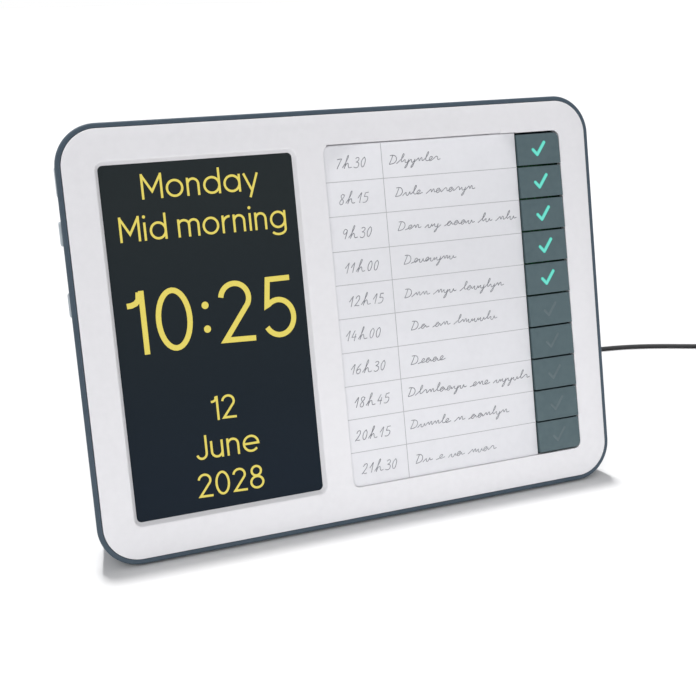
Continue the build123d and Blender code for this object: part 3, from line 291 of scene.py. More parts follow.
def block(middle, size, low, high, radius=0.0, segments=8, corners=lambda point: True):
    """Block between two levels, its upright edges rounded."""
    piece = primitive(
        bpy.ops.mesh.primitive_cube_add,
        size=1,
        location=(*middle, (low + high) / 2),
        scale=(*size, high - low),
    )
    if radius:
        with editing(piece, "EDGE", lambda edge: is_upright(edge) and corners(edge.verts[0].co)):
            bpy.ops.mesh.bevel(offset=radius, segments=segments, affect="EDGES")
    return piece


def draw_in(piece, side, steps):
    """Draw the front (+1) or back (-1) face in and out, step by step: (inwards, along its normal)."""
    with editing(piece, "FACE", facing(side)):
        for inwards, along in steps:
            bpy.ops.mesh.inset(thickness=inwards, depth=along, use_even_offset=True)
    return piece


def drum(middle, radius, low, high, sides=24):
    """Round bar between two levels."""
    return primitive(
        bpy.ops.mesh.primitive_cylinder_add,
        vertices=sides,
        radius=radius,
        depth=high - low,
        location=(*middle, (low + high) / 2),
        rotation=(0, 0, pi / sides),
    )


def stretch(piece, start, end, level=0.0):
    """Draw a round piece out into a bar that runs from one point to another."""
    across, up = end[0] - start[0], end[1] - start[1]
    with editing(piece, "VERT", lambda point: point.co.x > SAME_POINT):
        bpy.ops.transform.translate(value=(hypot(across, up), 0, 0))
    piece.rotation_euler.z = atan2(up, across)
    piece.location = (*start, level)
    return settle(piece)


def new_curve(name, dimensions, **values):
    return adjust(bpy.data.curves.new(name, "CURVE"), dimensions=dimensions, **values)


def add_line(curve, kind, points, closed=False, steps=4):
    """Add a line through the points to a curve; a NURBS line is smooth and keeps its open ends."""
    line = curve.splines.new(kind)
    line.points.add(len(points) - 1)
    for point, place in zip(line.points, points):
        point.co = Vector(place).to_4d()
    line.use_cyclic_u = closed
    if kind == "NURBS":
        adjust(line, order_u=3, use_endpoint_u=not closed, resolution_u=steps)


def as_mesh(piece):
    only(piece)
    bpy.ops.object.convert(target="MESH")
    return bpy.context.object


def prism(outline, low, high):
    """Block of any outline between two levels."""
    curve = new_curve("outline", "2D", fill_mode="BOTH", extrude=(high - low) / 2)
    add_line(curve, "POLY", outline, True)
    piece = as_mesh(new_object("outline", curve))
    piece.location.z = (low + high) / 2
    with editing(settle(piece)):
        bpy.ops.mesh.remove_doubles(threshold=0.0001)
        bpy.ops.mesh.dissolve_limited(angle_limit=radians(0.5))
        bpy.ops.mesh.normals_make_consistent(inside=False)
    return piece


def turned(profile, sides=32):
    """Piece turned about the third axis from a profile of (radius, height) points."""
    mesh = bpy.data.meshes.new("profile")
    mesh.from_pydata([(r, 0, h) for r, h in profile], [(i, i + 1) for i in range(len(profile) - 1)], [])
    piece = new_object("profile", mesh)
    with editing(piece):
        bpy.ops.mesh.spin(steps=sides, angle=2 * pi, center=(0, 0, 0), axis=(0, 0, 1))
        bpy.ops.mesh.select_all(action="SELECT")
        bpy.ops.mesh.remove_doubles(threshold=0.0005)
        bpy.ops.mesh.normals_make_consistent(inside=False)
    return piece


def apply_modifier(piece, kind, **values):
    """Add one modifier, set it and apply it."""
    only(piece)
    bpy.ops.object.modifier_add(type=kind)
    modifier = adjust(piece.modifiers[-1], **values)
    bpy.ops.object.modifier_apply(modifier=modifier.name)
    return piece


def combine(piece, others, operation):
    """Add the others to the piece, or cut them out of it, and merge the points that fall together."""
    for other in others:
        apply_modifier(piece, "BOOLEAN", operation=operation, solver="EXACT", object=other)
        bpy.data.objects.remove(other)
    with editing(piece):
        bpy.ops.mesh.remove_doubles(threshold=SAME_POINT)
        bpy.ops.mesh.dissolve_degenerate(threshold=SAME_POINT)
    return piece


def cut(piece, *others):
    return combine(piece, others, "DIFFERENCE")


def fuse(piece, *others):
    return combine(piece, others, "UNION")


def join(*pieces):
    """One object of several pieces that stay loose from each other."""
    only(*pieces)
    if len(pieces) > 1:
        bpy.ops.object.join()
    return bpy.context.object


def repeat(piece, spots):
    """One object of copies of a piece, one at each spot (u, v), in place of the piece."""
    copies = [new_object("copy", piece.data.copy()) for _ in spots]
    for copy, spot in zip(copies, spots):
        moved(copy, Matrix.Translation((*spot, 0)))
    bpy.data.objects.remove(piece)
    return join(*copies)


def shade(piece):
    """Shade the piece smoothly between its sharp edges, large flat faces staying flat."""
    only(piece)
    bpy.ops.object.shade_smooth()
    with editing(piece):
        bpy.ops.mesh.select_mode(type="EDGE")
        bpy.ops.mesh.select_all(action="DESELECT")
        bpy.ops.mesh.edges_select_sharp(sharpness=SMOOTH)
        bpy.ops.mesh.mark_sharp()
    return apply_modifier(piece, "WEIGHTED_NORMAL", keep_sharp=True, weight=80)


def round_edges(piece, width, segments=2, limit=SOFT):
    """Round the sharp edges and shade the piece smoothly between flat faces."""
    values = {"segments": segments, "limit_method": "ANGLE", "angle_limit": limit}
    apply_modifier(piece, "BEVEL", width=width, miter_outer="MITER_ARC", **values)
    return shade(piece)


def seat(piece, name, slot, place=FACE, replaced=None, body="clock_body", finish=None):
    """Put a finished piece in its place on the clock, where it moves with a body."""
    piece.name = name
    piece.data.name = name
    moved(piece, place)
    piece.data.materials.clear()
    piece.data.materials.append(FINISH[finish or slot])
    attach(piece, body)
    if replaced:
        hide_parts(replaced)
    return piece


# ---------------------------------------------------------------- shared surface effects


def srgb(red, green, blue):
    """Linear colour of a tone written on the usual 0 to 255 scale."""
    tone = (red, green, blue)
    return (*(((c / 255 + 0.055) / 1.055) ** 2.4 if c > 10 else c / 3294.6 for c in tone), 1)


def feed(tree, node, values):
    """Set a node's inputs; a pair of a node and the name of its output is linked instead."""
    for entry, value in values.items():
        if isinstance(value, tuple) and isinstance(value[0], bpy.types.Node):
            tree.links.new(value[0].outputs[value[1]], node.inputs[entry])
        else:
            node.inputs[entry].default_value = value


def add(tree, kind, values=None, **settings):
    """Add a node with its settings and what its inputs take."""
    node = adjust(tree.nodes.new("ShaderNode" + kind), **settings)
    feed(tree, node, values or {})
    return node


def calc(tree, operation, *terms):
    """Result of a math node."""
    return add(tree, "Math", dict(enumerate(terms)), operation=operation), "Value"


def mixed(tree, first, second, factor, data_type="RGBA", blend_type="MIX"):
    """Result of mixing two colours or two values."""
    values = {"A": first, "B": second, "Factor": factor}
    return add(tree, "Mix", values, data_type=data_type, blend_type=blend_type), "Result"


def ramp(tree, value, low, high, **ends):
    """Result of stretching the range from low to high over 0 to 1."""
    values = {"Value": value, "From Min": low, "From Max": high, **ends}
    return add(tree, "MapRange", values), "Result"


def object_place(tree):
    return add(tree, "TexCoord"), "Object"


def effect(name, inputs, outputs):
    """Shader node group with its inputs (label: value) and outputs; labels with colour are colours."""
    tree = bpy.data.node_groups.new(name, "ShaderNodeTree")
    for way, labels in (("INPUT", inputs), ("OUTPUT", outputs)):
        for label in labels:
            kind = "NodeSocketColor" if "olour" in label else "NodeSocketFloat"
            socket = tree.interface.new_socket(name=label, in_out=way, socket_type=kind)
            if way == "INPUT":
                socket.default_value = inputs[label]
    given = tree.nodes.new("NodeGroupInput")
    return tree, given, object_place(tree), tree.nodes.new("NodeGroupOutput")


def make_spark_grain():
    """Fine eroded grain of a moulding tool: small pits over a finer noise."""
    tree, given, place, result = effect(
        "spark_grain", {"Grains per metre": 4000.0, "Pits": 0.5}, ["Height"]
    )
    size = (given, "Grains per metre")
    noise = add(tree, "TexNoise", {"Vector": place, "Scale": size, "Detail": 3.0, "Roughness": 0.65})
    pits = add(tree, "TexVoronoi", {"Vector": place, "Scale": size, "Randomness": 1.0})
    height = mixed(tree, (noise, "Fac"), (pits, "Distance"), (given, "Pits"), "FLOAT")
    feed(tree, result, {"Height": height})
    return tree


def make_handling():
    """Slow change of tone and gloss over a surface that hands and cloths have been over."""
    inputs = {"Colour": (0.5, 0.5, 0.5, 1), "Rubbed colour": (0.5, 0.5, 0.5, 1), "Roughness": 0.5}
    inputs.update({"Gloss change": 0.08, "Patches per metre": 25.0})
    tree, given, place, result = effect("handling", inputs, ["Colour", "Roughness"])
    patches = add(tree, "TexNoise", {
        "Vector": place,
        "Scale": (given, "Patches per metre"),
        "Detail": 5.0,
        "Roughness": 0.6,
        "Distortion": 0.4,
    })
    smears = add(tree, "TexNoise", {"Vector": place, "Scale": 320.0, "Detail": 2.0})
    spread = ramp(tree, calc(tree, "MULTIPLY", (patches, "Fac"), (smears, "Fac")), 0.15, 0.4)
    change = calc(tree, "MULTIPLY", spread, (given, "Gloss change"))
    feed(tree, result, {
        "Colour": mixed(tree, (given, "Colour"), (given, "Rubbed colour"), spread),
        "Roughness": calc(tree, "ADD", change, (given, "Roughness")),
    })
    return tree


def make_brushing():
    """Long fine scratches along the first axis, for drawn and rolled metal."""
    inputs = {"Scratches per metre": 6000.0, "Roughness": 0.3, "Change": 0.15}
    tree, given, place, result = effect("brushing", inputs, ["Height", "Roughness"])
    drawn = add(tree, "Mapping", {"Vector": place, "Scale": (0.04, 1.0, 1.0)})
    size = (given, "Scratches per metre")
    scratches = add(
        tree, "TexNoise", {"Vector": (drawn, "Vector"), "Scale": size, "Detail": 4.0, "Roughness": 0.7}
    )
    change = calc(tree, "MULTIPLY", (scratches, "Fac"), (given, "Change"))
    gloss = calc(tree, "ADD", change, (given, "Roughness"))
    feed(tree, result, {"Height": (scratches, "Fac"), "Roughness": gloss})
    return tree


def make_pixel_grid():
    """Fine grid of a liquid crystal panel: 1 inside a pixel, lower in the lines between them."""
    inputs = {"Pixels per metre": 6600.0, "Line": 0.14, "Depth": 0.25}
    tree, given, place, result = effect("pixel_grid", inputs, ["Mask"])
    parts = add(tree, "SeparateXYZ", {"Vector": place})
    inside = []
    for axis in ("X", "Z"):
        phase = calc(tree, "FRACT", calc(tree, "MULTIPLY", (parts, axis), (given, "Pixels per metre")))
        inside.append(calc(tree, "GREATER_THAN", phase, (given, "Line")))
    line = calc(tree, "SUBTRACT", 1.0, calc(tree, "MULTIPLY", *inside))
    dim = calc(tree, "MULTIPLY", line, (given, "Depth"))
    feed(tree, result, {"Mask": calc(tree, "SUBTRACT", 1.0, dim)})
    return tree


SPARK_GRAIN = make_spark_grain()
HANDLING = make_handling()
BRUSHING = make_brushing()
PIXEL_GRID = make_pixel_grid()

# ---------------------------------------------------------------- finishes


def new_finish(name, **values):
    """Material with its node tree and its principled shader; values are written on the shader."""
    material = bpy.data.materials.new(name)
    material.use_nodes = True
    tree = material.node_tree
    shader = tree.nodes["Principled BSDF"]
    shader.inputs["Specular IOR Level"].default_value = values.pop("specular", 0.5)
    feed(tree, shader, {label.replace("_", " ").title(): value for label, value in values.items()})
    return material, tree, shader


def relief(tree, shader, height, depth_mm, strength=1.0):
    """Fine relief of a surface, this deep."""
    bump = add(tree, "Bump", {"Height": height, "Strength": strength, "Distance": depth_mm * MM})
    feed(tree, shader, {"Normal": (bump, "Normal")})


def moulded(name, colour, rubbed, roughness, grain=4000, depth=0.01, gloss=0.08, pits=0.5, specular=0.5):
    """Moulded plastic or rubber: eroded grain and a slow change of tone and gloss."""
    material, tree, shader = new_finish(name, specular=specular)
    worn = add(tree, "Group", node_tree=HANDLING)
    feed(tree, worn, {"Colour": srgb(*colour), "Rubbed colour": srgb(*rubbed)})
    feed(tree, worn, {"Roughness": roughness, "Gloss change": gloss})
    texture = add(tree, "Group", {"Grains per metre": grain, "Pits": pits}, node_tree=SPARK_GRAIN)
    relief(tree, shader, (texture, "Height"), depth)
    feed(tree, shader, {"Base Color": (worn, "Colour"), "Roughness": (worn, "Roughness")})
    return material


def metal(name, colour, roughness, scratches=6000, depth=0.002):
    """Bare metal with fine brushing."""
    material, tree, shader = new_finish(name, metallic=1.0)
    values = {"Scratches per metre": scratches, "Roughness": roughness}
    drawn = add(tree, "Group", values, node_tree=BRUSHING)
    bright = srgb(*colour)
    dull = (*(0.8 * c for c in bright[:3]), 1)
    tarnish = add(tree, "Group", {"Colour": bright, "Rubbed colour": dull}, node_tree=HANDLING)
    relief(tree, shader, (drawn, "Height"), depth)
    feed(tree, shader, {"Base Color": (tarnish, "Colour"), "Roughness": (drawn, "Roughness")})
    return material


def paper_card():
    """Satin white card: soft fibre relief, slightly cloudy tone."""
    material, tree, shader = new_finish("card_white", specular=0.35)
    worn = add(tree, "Group", node_tree=HANDLING)
    feed(tree, worn, {"Colour": CARD_TONE, "Rubbed colour": CARD_TONE_CLOUDY})
    feed(tree, worn, {"Roughness": 0.55, "Patches per metre": 60})
    fibre = add(tree, "TexNoise", {
        "Vector": object_place(tree),
        "Scale": 2600.0,
        "Detail": 6.0,
        "Roughness": 0.75,
        "Distortion": 1.2,
    })
    feed(tree, shader, {"Base Color": (worn, "Colour"), "Roughness": (worn, "Roughness")})
    relief(tree, shader, (fibre, "Fac"), 0.006)
    return material


def display_surface():
    """Matt front of the panel: blue-black, with painted shading that is lighter at the top and darker
    and bluer towards the foot, and its pixel grid.
    """
    material, tree, shader = new_finish("display_glass", specular=0.07, roughness=0.34)
    place = object_place(tree)
    parts = add(tree, "SeparateXYZ", {"Vector": place})
    # painted shading: the panel's tone goes from a lighter top to a darker, bluer foot by height
    tone = mixed(tree, PANEL_PAINTED_SHADE_FOOT_TONE, PANEL_PAINTED_LIGHT_TOP_TONE, ramp(tree, (parts, "Z"), 0.03, 0.15))
    grid = add(tree, "Group", node_tree=PIXEL_GRID)
    dark = mixed(tree, tone, (grid, "Mask"), 1.0, blend_type="MULTIPLY")
    haze = add(tree, "TexNoise", {"Vector": place, "Scale": 9000.0, "Detail": 2.0})
    feed(tree, shader, {"Base Color": dark})
    relief(tree, shader, (haze, "Fac"), 0.001)
    return material


def shining_print(name, colour, strength, grid_depth=0.25):
    """Characters that the panel lights from behind, broken up by its pixels."""
    material, tree, shader = new_finish(name, specular=0.2, roughness=0.4, emission_strength=strength)
    grid = add(tree, "Group", {"Depth": grid_depth}, node_tree=PIXEL_GRID)
    shine = mixed(tree, colour, (grid, "Mask"), 1.0, blend_type="MULTIPLY")
    feed(tree, shader, {"Base Color": (0.02, 0.02, 0.01, 1), "Emission Color": shine})
    return material


def lit_lens():
    """Lit tick: diffusing turquoise plastic, paler along the middle of each stroke."""
    material, tree, shader = new_finish(
        "tick_lit", specular=0.4, roughness=0.35, emission_strength=TICK_LIGHT
    )
    middle = add(tree, "Attribute", attribute_name="middle")
    cloud = add(tree, "TexNoise", {"Vector": object_place(tree), "Scale": 900.0, "Detail": 2.0})
    uneven = ramp(tree, (cloud, "Fac"), 0.3, 0.7, **{"To Min": 0.85, "To Max": 1.1})
    core = calc(tree, "MULTIPLY", (middle, "Fac"), uneven)
    shine = mixed(tree, TICK_EDGE_TONE, TICK_CORE_TONE, core)
    feed(tree, shader, {"Base Color": TICK_BODY_TONE, "Emission Color": shine})
    return material


def circuit_board():
    """Green solder resist with copper tracks showing through."""
    material, tree, shader = new_finish("circuit_board", specular=0.5, roughness=0.35)
    values = {"Vector": object_place(tree), "Scale": 260.0}
    cells = add(tree, "TexVoronoi", values, feature="DISTANCE_TO_EDGE", distance="EUCLIDEAN")
    track = ramp(tree, (cells, "Distance"), 0.03, 0.05)
    feed(tree, shader, {"Base Color": mixed(tree, TRACK_TONE, RESIST_TONE, track)})
    relief(tree, shader, track, 0.03, 0.5)
    return material


CARD_TONE = srgb(225, 225, 229)
CARD_TONE_CLOUDY = srgb(222, 222, 226)
# painted shading of the display panel: a lighter top and a darker, bluer foot
PANEL_PAINTED_LIGHT_TOP_TONE = srgb(39, 45, 47)
PANEL_PAINTED_SHADE_FOOT_TONE = srgb(20, 31, 42)
DISPLAY_YELLOW = srgb(232, 214, 100)
TICK_EDGE_TONE = srgb(64, 216, 190)
TICK_CORE_TONE = srgb(150, 240, 228)
TICK_BODY_TONE = srgb(40, 120, 110)
TICK_LIGHT = 0.68
TRACK_TONE = srgb(38, 116, 62)
RESIST_TONE = srgb(16, 72, 38)

# each: colour, rubbed colour, roughness, grains per metre, depth in mm, change of gloss, pits, specular
MOULDED = {
    "bezel_white": ((229, 228, 231), (226, 225, 228), 0.4, 5200, 0.004, 0.06, 0.3, 0.4),
    "housing_slate": ((66, 80, 92), (61, 75, 87), 0.5, 3400, 0.014, 0.1, 0.6, 0.3),
    "key_slate": ((79, 97, 102), (74, 92, 97), 0.5, 4200, 0.01, 0.1, 0.5, 0.4),
    # the flank buttons' pale grey is a painted highlight, standing for the light that falls on them
    "flank_grey": ((158, 169, 176), (152, 163, 170), 0.5, 4200, 0.01, 0.1, 0.5, 0.4),
    "tick_unlit": ((90, 105, 110), (84, 99, 104), 0.45, 5000, 0.003, 0.05, 0.2),
    "foot_rubber": ((38, 41, 44), (48, 50, 52), 0.75, 2600, 0.02, 0.1, 0.3, 0.3),
    "switch_black": ((30, 31, 33), (38, 39, 41), 0.4, 3800, 0.006),
    "led_resin": ((226, 222, 180), (214, 208, 160), 0.2, 3000, 0.001),
    "ribbon_amber": ((168, 104, 36), (150, 90, 30), 0.3, 1500, 0.002),
    "cone_paper": ((40, 39, 38), (54, 52, 50), 0.85, 1600, 0.03, 0.05, 0.1, 0.2),
    "cord_black": ((28, 29, 31), (36, 37, 39), 0.42, 3000, 0.006, 0.1, 0.3),
    "print_grey": ((168, 168, 172), (180, 180, 184), 0.6, 2500, 0.002, 0.05, 0.1, 0.2),
    "pen_grey": ((116, 118, 124), (158, 160, 166), 0.6, 900, 0.002, 0.05, 0.1, 0.2),
}
# each: colour, roughness, scratches per metre, depth in mm
METALS = {
    "contact_gold": ((226, 190, 110), 0.22),
    "bright_steel": ((205, 207, 210), 0.22),
    "pressed_steel": ((180, 182, 186), 0.34, 3000, 0.006),
    "magnet_grey": ((92, 94, 98), 0.5, 2500, 0.01),
}
FINISH = {name: moulded(name, *values) for name, values in MOULDED.items()}
FINISH.update({name: metal(name, *values) for name, values in METALS.items()})
FINISH["card_white"] = paper_card()
FINISH["display_glass"] = display_surface()
FINISH["display_text"] = shining_print("display_text", DISPLAY_YELLOW, 1.0)
FINISH["tick_lit"] = lit_lens()
FINISH["circuit_board"] = circuit_board()

# ---------------------------------------------------------------- camera

EYE = FACE_MIDDLE * MM + Vector((-0.2073, -0.4838, 0.1679))
LOOK = Vector((0.3629, 0.8722, -0.3279))
LENS = 62.2
SENSOR = 36.0


def aim(piece, along):
    """Turn a camera or a light to look along a direction."""
    piece.rotation_euler = along.to_track_quat("-Z", "Y").to_euler()


def set_up_camera():
    camera = new_object("camera", adjust(bpy.data.cameras.new("camera"), lens=LENS, sensor_width=SENSOR))
    camera.location = EYE
    aim(camera, LOOK)
    bpy.context.scene.camera = camera


set_up_camera()

# ---------------------------------------------------------------- power cord

CORD_Z = 1.42                 # middle of the cord where it lies on the surface
CORD_EXIT = FACE @ Vector((*INLET, -(PLUG_START + PLUG_L + RELIEF_L))) / MM
DROP = [(72.0, 41.5, 15.5), (73.5, 54.0, 9.6), (78.0, 67.5, 4.4)]
LAID = [(88.0, 82.0), (103.0, 96.5), (125.0, 110.0), (154.0, 119.5), (186.0, 126.0), (216.0, 126.5)]
LAID += [(244.0, 124.5), (268.0, 118.0), (294.0, 106.5), (309.0, 100.5)]
# from the last turn over the coil and down to the far plug
TAIL = [(323.5, 88.5, 9.1), (328.8, 82.0, 9.1), (331.8, 74.0, 8.9), (331.2, 64.5, 6.4)]
TAIL += [(327.0, 57.0, 2.6), (319.0, 54.0, 2.9), (310.0, 54.0, 3.75), (302.0, 54.0, 3.75)]
COIL_MIDDLE = (313.0, 79.0)
COIL_MEAN_R = 15.55
TURN_STEP = 2.62
LAYER_STEP = 2.27
TURN_POINTS = 12
TURN_SHIFT = 3                # of those, the points over which a turn moves over to the next
COIL_START = radians(60)


def coil_places():
    """Radius and height of each turn: four outside to in, three back out, four in again."""
    four = [COIL_MEAN_R + TURN_STEP * step for step in (1.5, 0.5, -0.5, -1.5)]
    three = [COIL_MEAN_R + TURN_STEP * step for step in (-1, 0, 1)]
    layers = [four, three, four]
    return [(r, CORD_Z + level * LAYER_STEP) for level, radii in enumerate(layers) for r in radii]


def coil_points():
    """Points of the coil's turns, clockwise seen from above."""
    places = coil_places()
    # the line runs inside its points, so they stand out by this much
    spread = 1 / (0.75 + 0.25 * cos(2 * pi / TURN_POINTS))
    rise = (places[-1][0], places[-1][1] + CORD_D)
    points = []
    for (radius, height), (next_radius, next_height) in zip(places, [*places[1:], rise]):
        for step in range(TURN_POINTS):
            part = max(0, step - TURN_POINTS + TURN_SHIFT + 1) / (TURN_SHIFT + 1)
            r = (radius + (next_radius - radius) * part) * spread
            angle = COIL_START - 2 * pi * step / TURN_POINTS
            x, y = COIL_MIDDLE[0] + r * cos(angle), COIL_MIDDLE[1] + r * sin(angle)
            points.append((x, y, height + (next_height - height) * part))
    return points


def make_power_lead():
    """Round cord along one smooth line."""
    curve = new_curve(
        "power_lead", "3D", bevel_depth=CORD_D / 2 * MM, bevel_resolution=4, use_fill_caps=True
    )
    route = [CORD_EXIT, *DROP, *((x, y, CORD_Z) for x, y in LAID), *coil_points(), *TAIL]
    add_line(curve, "NURBS", [[c * MM for c in point] for point in route], steps=6)
    curve.materials.append(FINISH["cord_black"])
    lead = new_object("power_lead", curve)
    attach(lead, "clock_body")
    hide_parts("power_cord", "cord_tail", "cord_coil")
    return lead


# ---------------------------------------------------------------- plugs of the cord

BARREL_L = 8.5
BARREL_R = 2.75
BARREL_BORE_R = 1.05
RELIEF_RIBS = 7
RELIEF_GROOVE = 0.75
RELIEF_TIP_R = 1.75
RELIEF_WEB = (1.1, 2.3)


def make_inlet_plug():
    """Moulded barrel plug with two flats, and its metal barrel."""
    grip = turned(
        [(0, 0), (PLUG_R - 0.3, 0), (PLUG_R, 0.5), (PLUG_R, 4.2), (PLUG_R - 0.35, 4.8), (PLUG_R, 5.4)]
        + [(PLUG_R, PLUG_L - 2.4), (PLUG_R - 0.5, PLUG_L - 0.9), (PLUG_R - 1.5, PLUG_L), (0, PLUG_L)],
        48,
    )
    combine(grip, [block((0, 0), (PLUG_FLATS, 3 * PLUG_R), -PAST, PLUG_L + PAST)], "INTERSECT")
    round_edges(grip, 0.35, 3)
    seat(grip, "inlet_plug_grip", "cord_black", PLUG, "dc_plug")
    bore = [(BARREL_BORE_R, 0.2), (BARREL_BORE_R, -BARREL_L)]
    skin = [(BARREL_R - 0.2, -BARREL_L), (BARREL_R, 0.3 - BARREL_L), (BARREL_R, 0.2)]
    barrel = turned([bore[1], *skin, *bore])
    round_edges(barrel, 0.08)
    seat(barrel, "inlet_plug_barrel", "bright_steel", PLUG)
    return [grip, barrel]


def make_bend_relief():
    """Tapered strain relief: ribs, and two webs between them that let it bend more easily one way."""
    profile = [(0, PLUG_L - 0.4), (RELIEF_R, PLUG_L - 0.4)]
    pitch = (RELIEF_L - 3) / RELIEF_RIBS
    for rib in range(RELIEF_RIBS):
        low = PLUG_L + 1.2 + rib * pitch
        top = RELIEF_R + (RELIEF_TIP_R - RELIEF_R) * (rib + 0.5) / RELIEF_RIBS
        foot = top - RELIEF_GROOVE
        profile += [(top, low), (top, low + pitch * 0.62)]
        profile += [(foot, low + pitch * 0.68), (foot, low + pitch * 0.94)]
    profile += [(RELIEF_TIP_R, PLUG_L + RELIEF_L - 1.4), (CORD_D / 2, PLUG_L + RELIEF_L - 0.1)]
    relief_piece = turned([*profile, (0, PLUG_L + RELIEF_L - 0.1)])
    for side in (-1, 1):
        fuse(relief_piece, block((0, side * 1.2), RELIEF_WEB, PLUG_L, PLUG_L + RELIEF_L - 3))
    round_edges(relief_piece, 0.12)
    return seat(relief_piece, "plug_bend_relief", "cord_black", PLUG, "plug_strain_relief")


FAR_BENCH = bench(Vector(TAIL[-1]) * MM, (0, -1, 0), (-1, 0, 0))
FAR_NECK_L = 6.0
FAR_BODY = (13.4, 7.4)
FAR_BODY_END = FAR_NECK_L + 20.0
FAR_GRIP_RIBS = 4
FAR_GRIP_PITCH = 2.2
FAR_SHELL = (12.0, 4.5)
FAR_SHELL_END = FAR_BODY_END + 12.0
FAR_SHELL_T = 0.3
FAR_WINDOW = (2.5, 2.0)
FAR_WINDOW_U = 2.9
FAR_WINDOW_START = FAR_BODY_END + 4.6
FAR_CONTACTS_U = (-3.5, -1.2, 1.2, 3.5)
FAR_CONTACT = (1.1, 0.14)


def make_far_plug():
    """Flat plug at the far end: moulded grip with finger ribs, folded shell, tongue, contacts."""
    width, height = FAR_BODY
    body = block((0, 0), FAR_BODY, FAR_NECK_L, FAR_BODY_END, 1.7, 6)
    draw_in(body, -1, [(0.5, 0.15), (0.7, 0.6), (0.15, 1.4), (0.1, 1.6), (0.45, 2.0)])
    levels = [FAR_NECK_L + 5 + FAR_GRIP_PITCH * row for row in range(FAR_GRIP_RIBS)]
    sides = (-width / 2, width / 2)
    grooves = [block((u, 0), (0.9, height - 2.6), low, low + 1.0) for low in levels for u in sides]
    round_edges(cut(body, join(*grooves)), 0.3, 3)
    seat(body, "far_plug_grip", "cord_black", FAR_BENCH, "usb_plug_body")
    shell = block((0, 0), FAR_SHELL, FAR_BODY_END, FAR_SHELL_END, 0.6, 3)
    inside = grown(FAR_SHELL, -FAR_SHELL_T)
    hollow = block((0, 0), inside, FAR_BODY_END + 0.4, FAR_SHELL_END + PAST, 0.3, 2)
    hole = (FAR_WINDOW[0], 2 * FAR_SHELL[1])
    window_end = FAR_WINDOW_START + FAR_WINDOW[1]
    windows = [block((side * FAR_WINDOW_U, 0), hole, FAR_WINDOW_START, window_end) for side in (-1, 1)]
    round_edges(cut(shell, hollow, join(*windows)), 0.06)
    seat(shell, "far_plug_shell", "bright_steel", FAR_BENCH, "usb_plug_shell")
    rise = 0.5 * inside[1]
    low = FAR_SHELL_T - FAR_SHELL[1] / 2
    bar = (FAR_SHELL[0] - 3 * FAR_SHELL_T, rise)
    tongue = block((0, low + rise / 2), bar, FAR_BODY_END, FAR_SHELL_END - 0.6)
    round_edges(tongue, 0.1)
    seat(tongue, "far_plug_tongue", "switch_black", FAR_BENCH)
    start, end = FAR_BODY_END + 2.6, FAR_SHELL_END - 1.4
    contacts = join(*[block((u, low + rise), FAR_CONTACT, start, end) for u in FAR_CONTACTS_U])
    round_edges(contacts, 0.04)
    seat(contacts, "far_plug_contacts", "bright_steel", FAR_BENCH, finish="contact_gold")
    return [body, shell, tongue, contacts]


make_power_lead()
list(make_inlet_plug())
make_bend_relief()
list(make_far_plug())

# ---------------------------------------------------------------- front bezel

BAND_STEPS = 10
BEZEL_EDGE = 0.25             # small round where the bezel meets the rim
LIP_ROUND = 1.0               # round at the top of the window's walls
WINDOW_RUN = 0.5              # the window's cutter runs on this far behind the panel's front
POCKET_ROUND = 0.3
SLOT_START = FIELD_LEFT + 1.6
SLOT_RISE = 0.5               # the slot over the card's top edge
SLOT_DEEP = 2.3
SCOOP_W = 6.6                 # shallow scoop over the thumb notch
SCOOP_RISE = 2.6
SCOOP_DEEP = 0.12
FRAME_GAP = 0.2
FRAME_WALL = 1.2
FRAME_DEPTH = 3.6
FRAME_CORNER = 8.0            # the frame stands only this far from the panel's corners


def falling_band():
    """Steps of the soft band that falls away to the bezel's edge, from its rim inwards."""
    falls = [sin(pi / 2 * step / BAND_STEPS) for step in range(BAND_STEPS + 1)]
    width, depth = BAND_W - BEZEL_EDGE, BAND_DROP - BEZEL_EDGE
    return [(width / BAND_STEPS, depth * (after - before)) for before, after in zip(falls, falls[1:])]


def rounding(radius, start, end, count=6):
    """Steps of an arc that turns from one lean to another: (inwards, along)."""
    leans = [start + (end - start) * step / count for step in range(count + 1)]
    return [(radius * (cos(a) - cos(b)), radius * (sin(b) - sin(a))) for a, b in zip(leans, leans[1:])]


def lipped_cutter(middle, size, corner, depth, slope, radius, beyond=0.0):
    """Cutter of an opening in the face: its size at the depth, walls that spread, a rounded lip."""
    wall_angle = atan2(depth, slope) if slope else pi / 2 - 0.01
    # over the lip: an arc that starts flat, so its two directions change places
    steps = [(inwards, along) for along, inwards in rounding(radius, 0, wall_angle)]
    flare = sum(inwards for inwards, _ in steps)
    sunk = sum(along for _, along in steps)
    wall = (depth - sunk) / tan(wall_angle)
    spread = flare + wall
    cutter = block(middle, grown(size, spread), 0, 1.0, corner + spread, 12)
    return draw_in(cutter, -1, [*steps, (wall + beyond / tan(wall_angle), depth - sunk + beyond)])


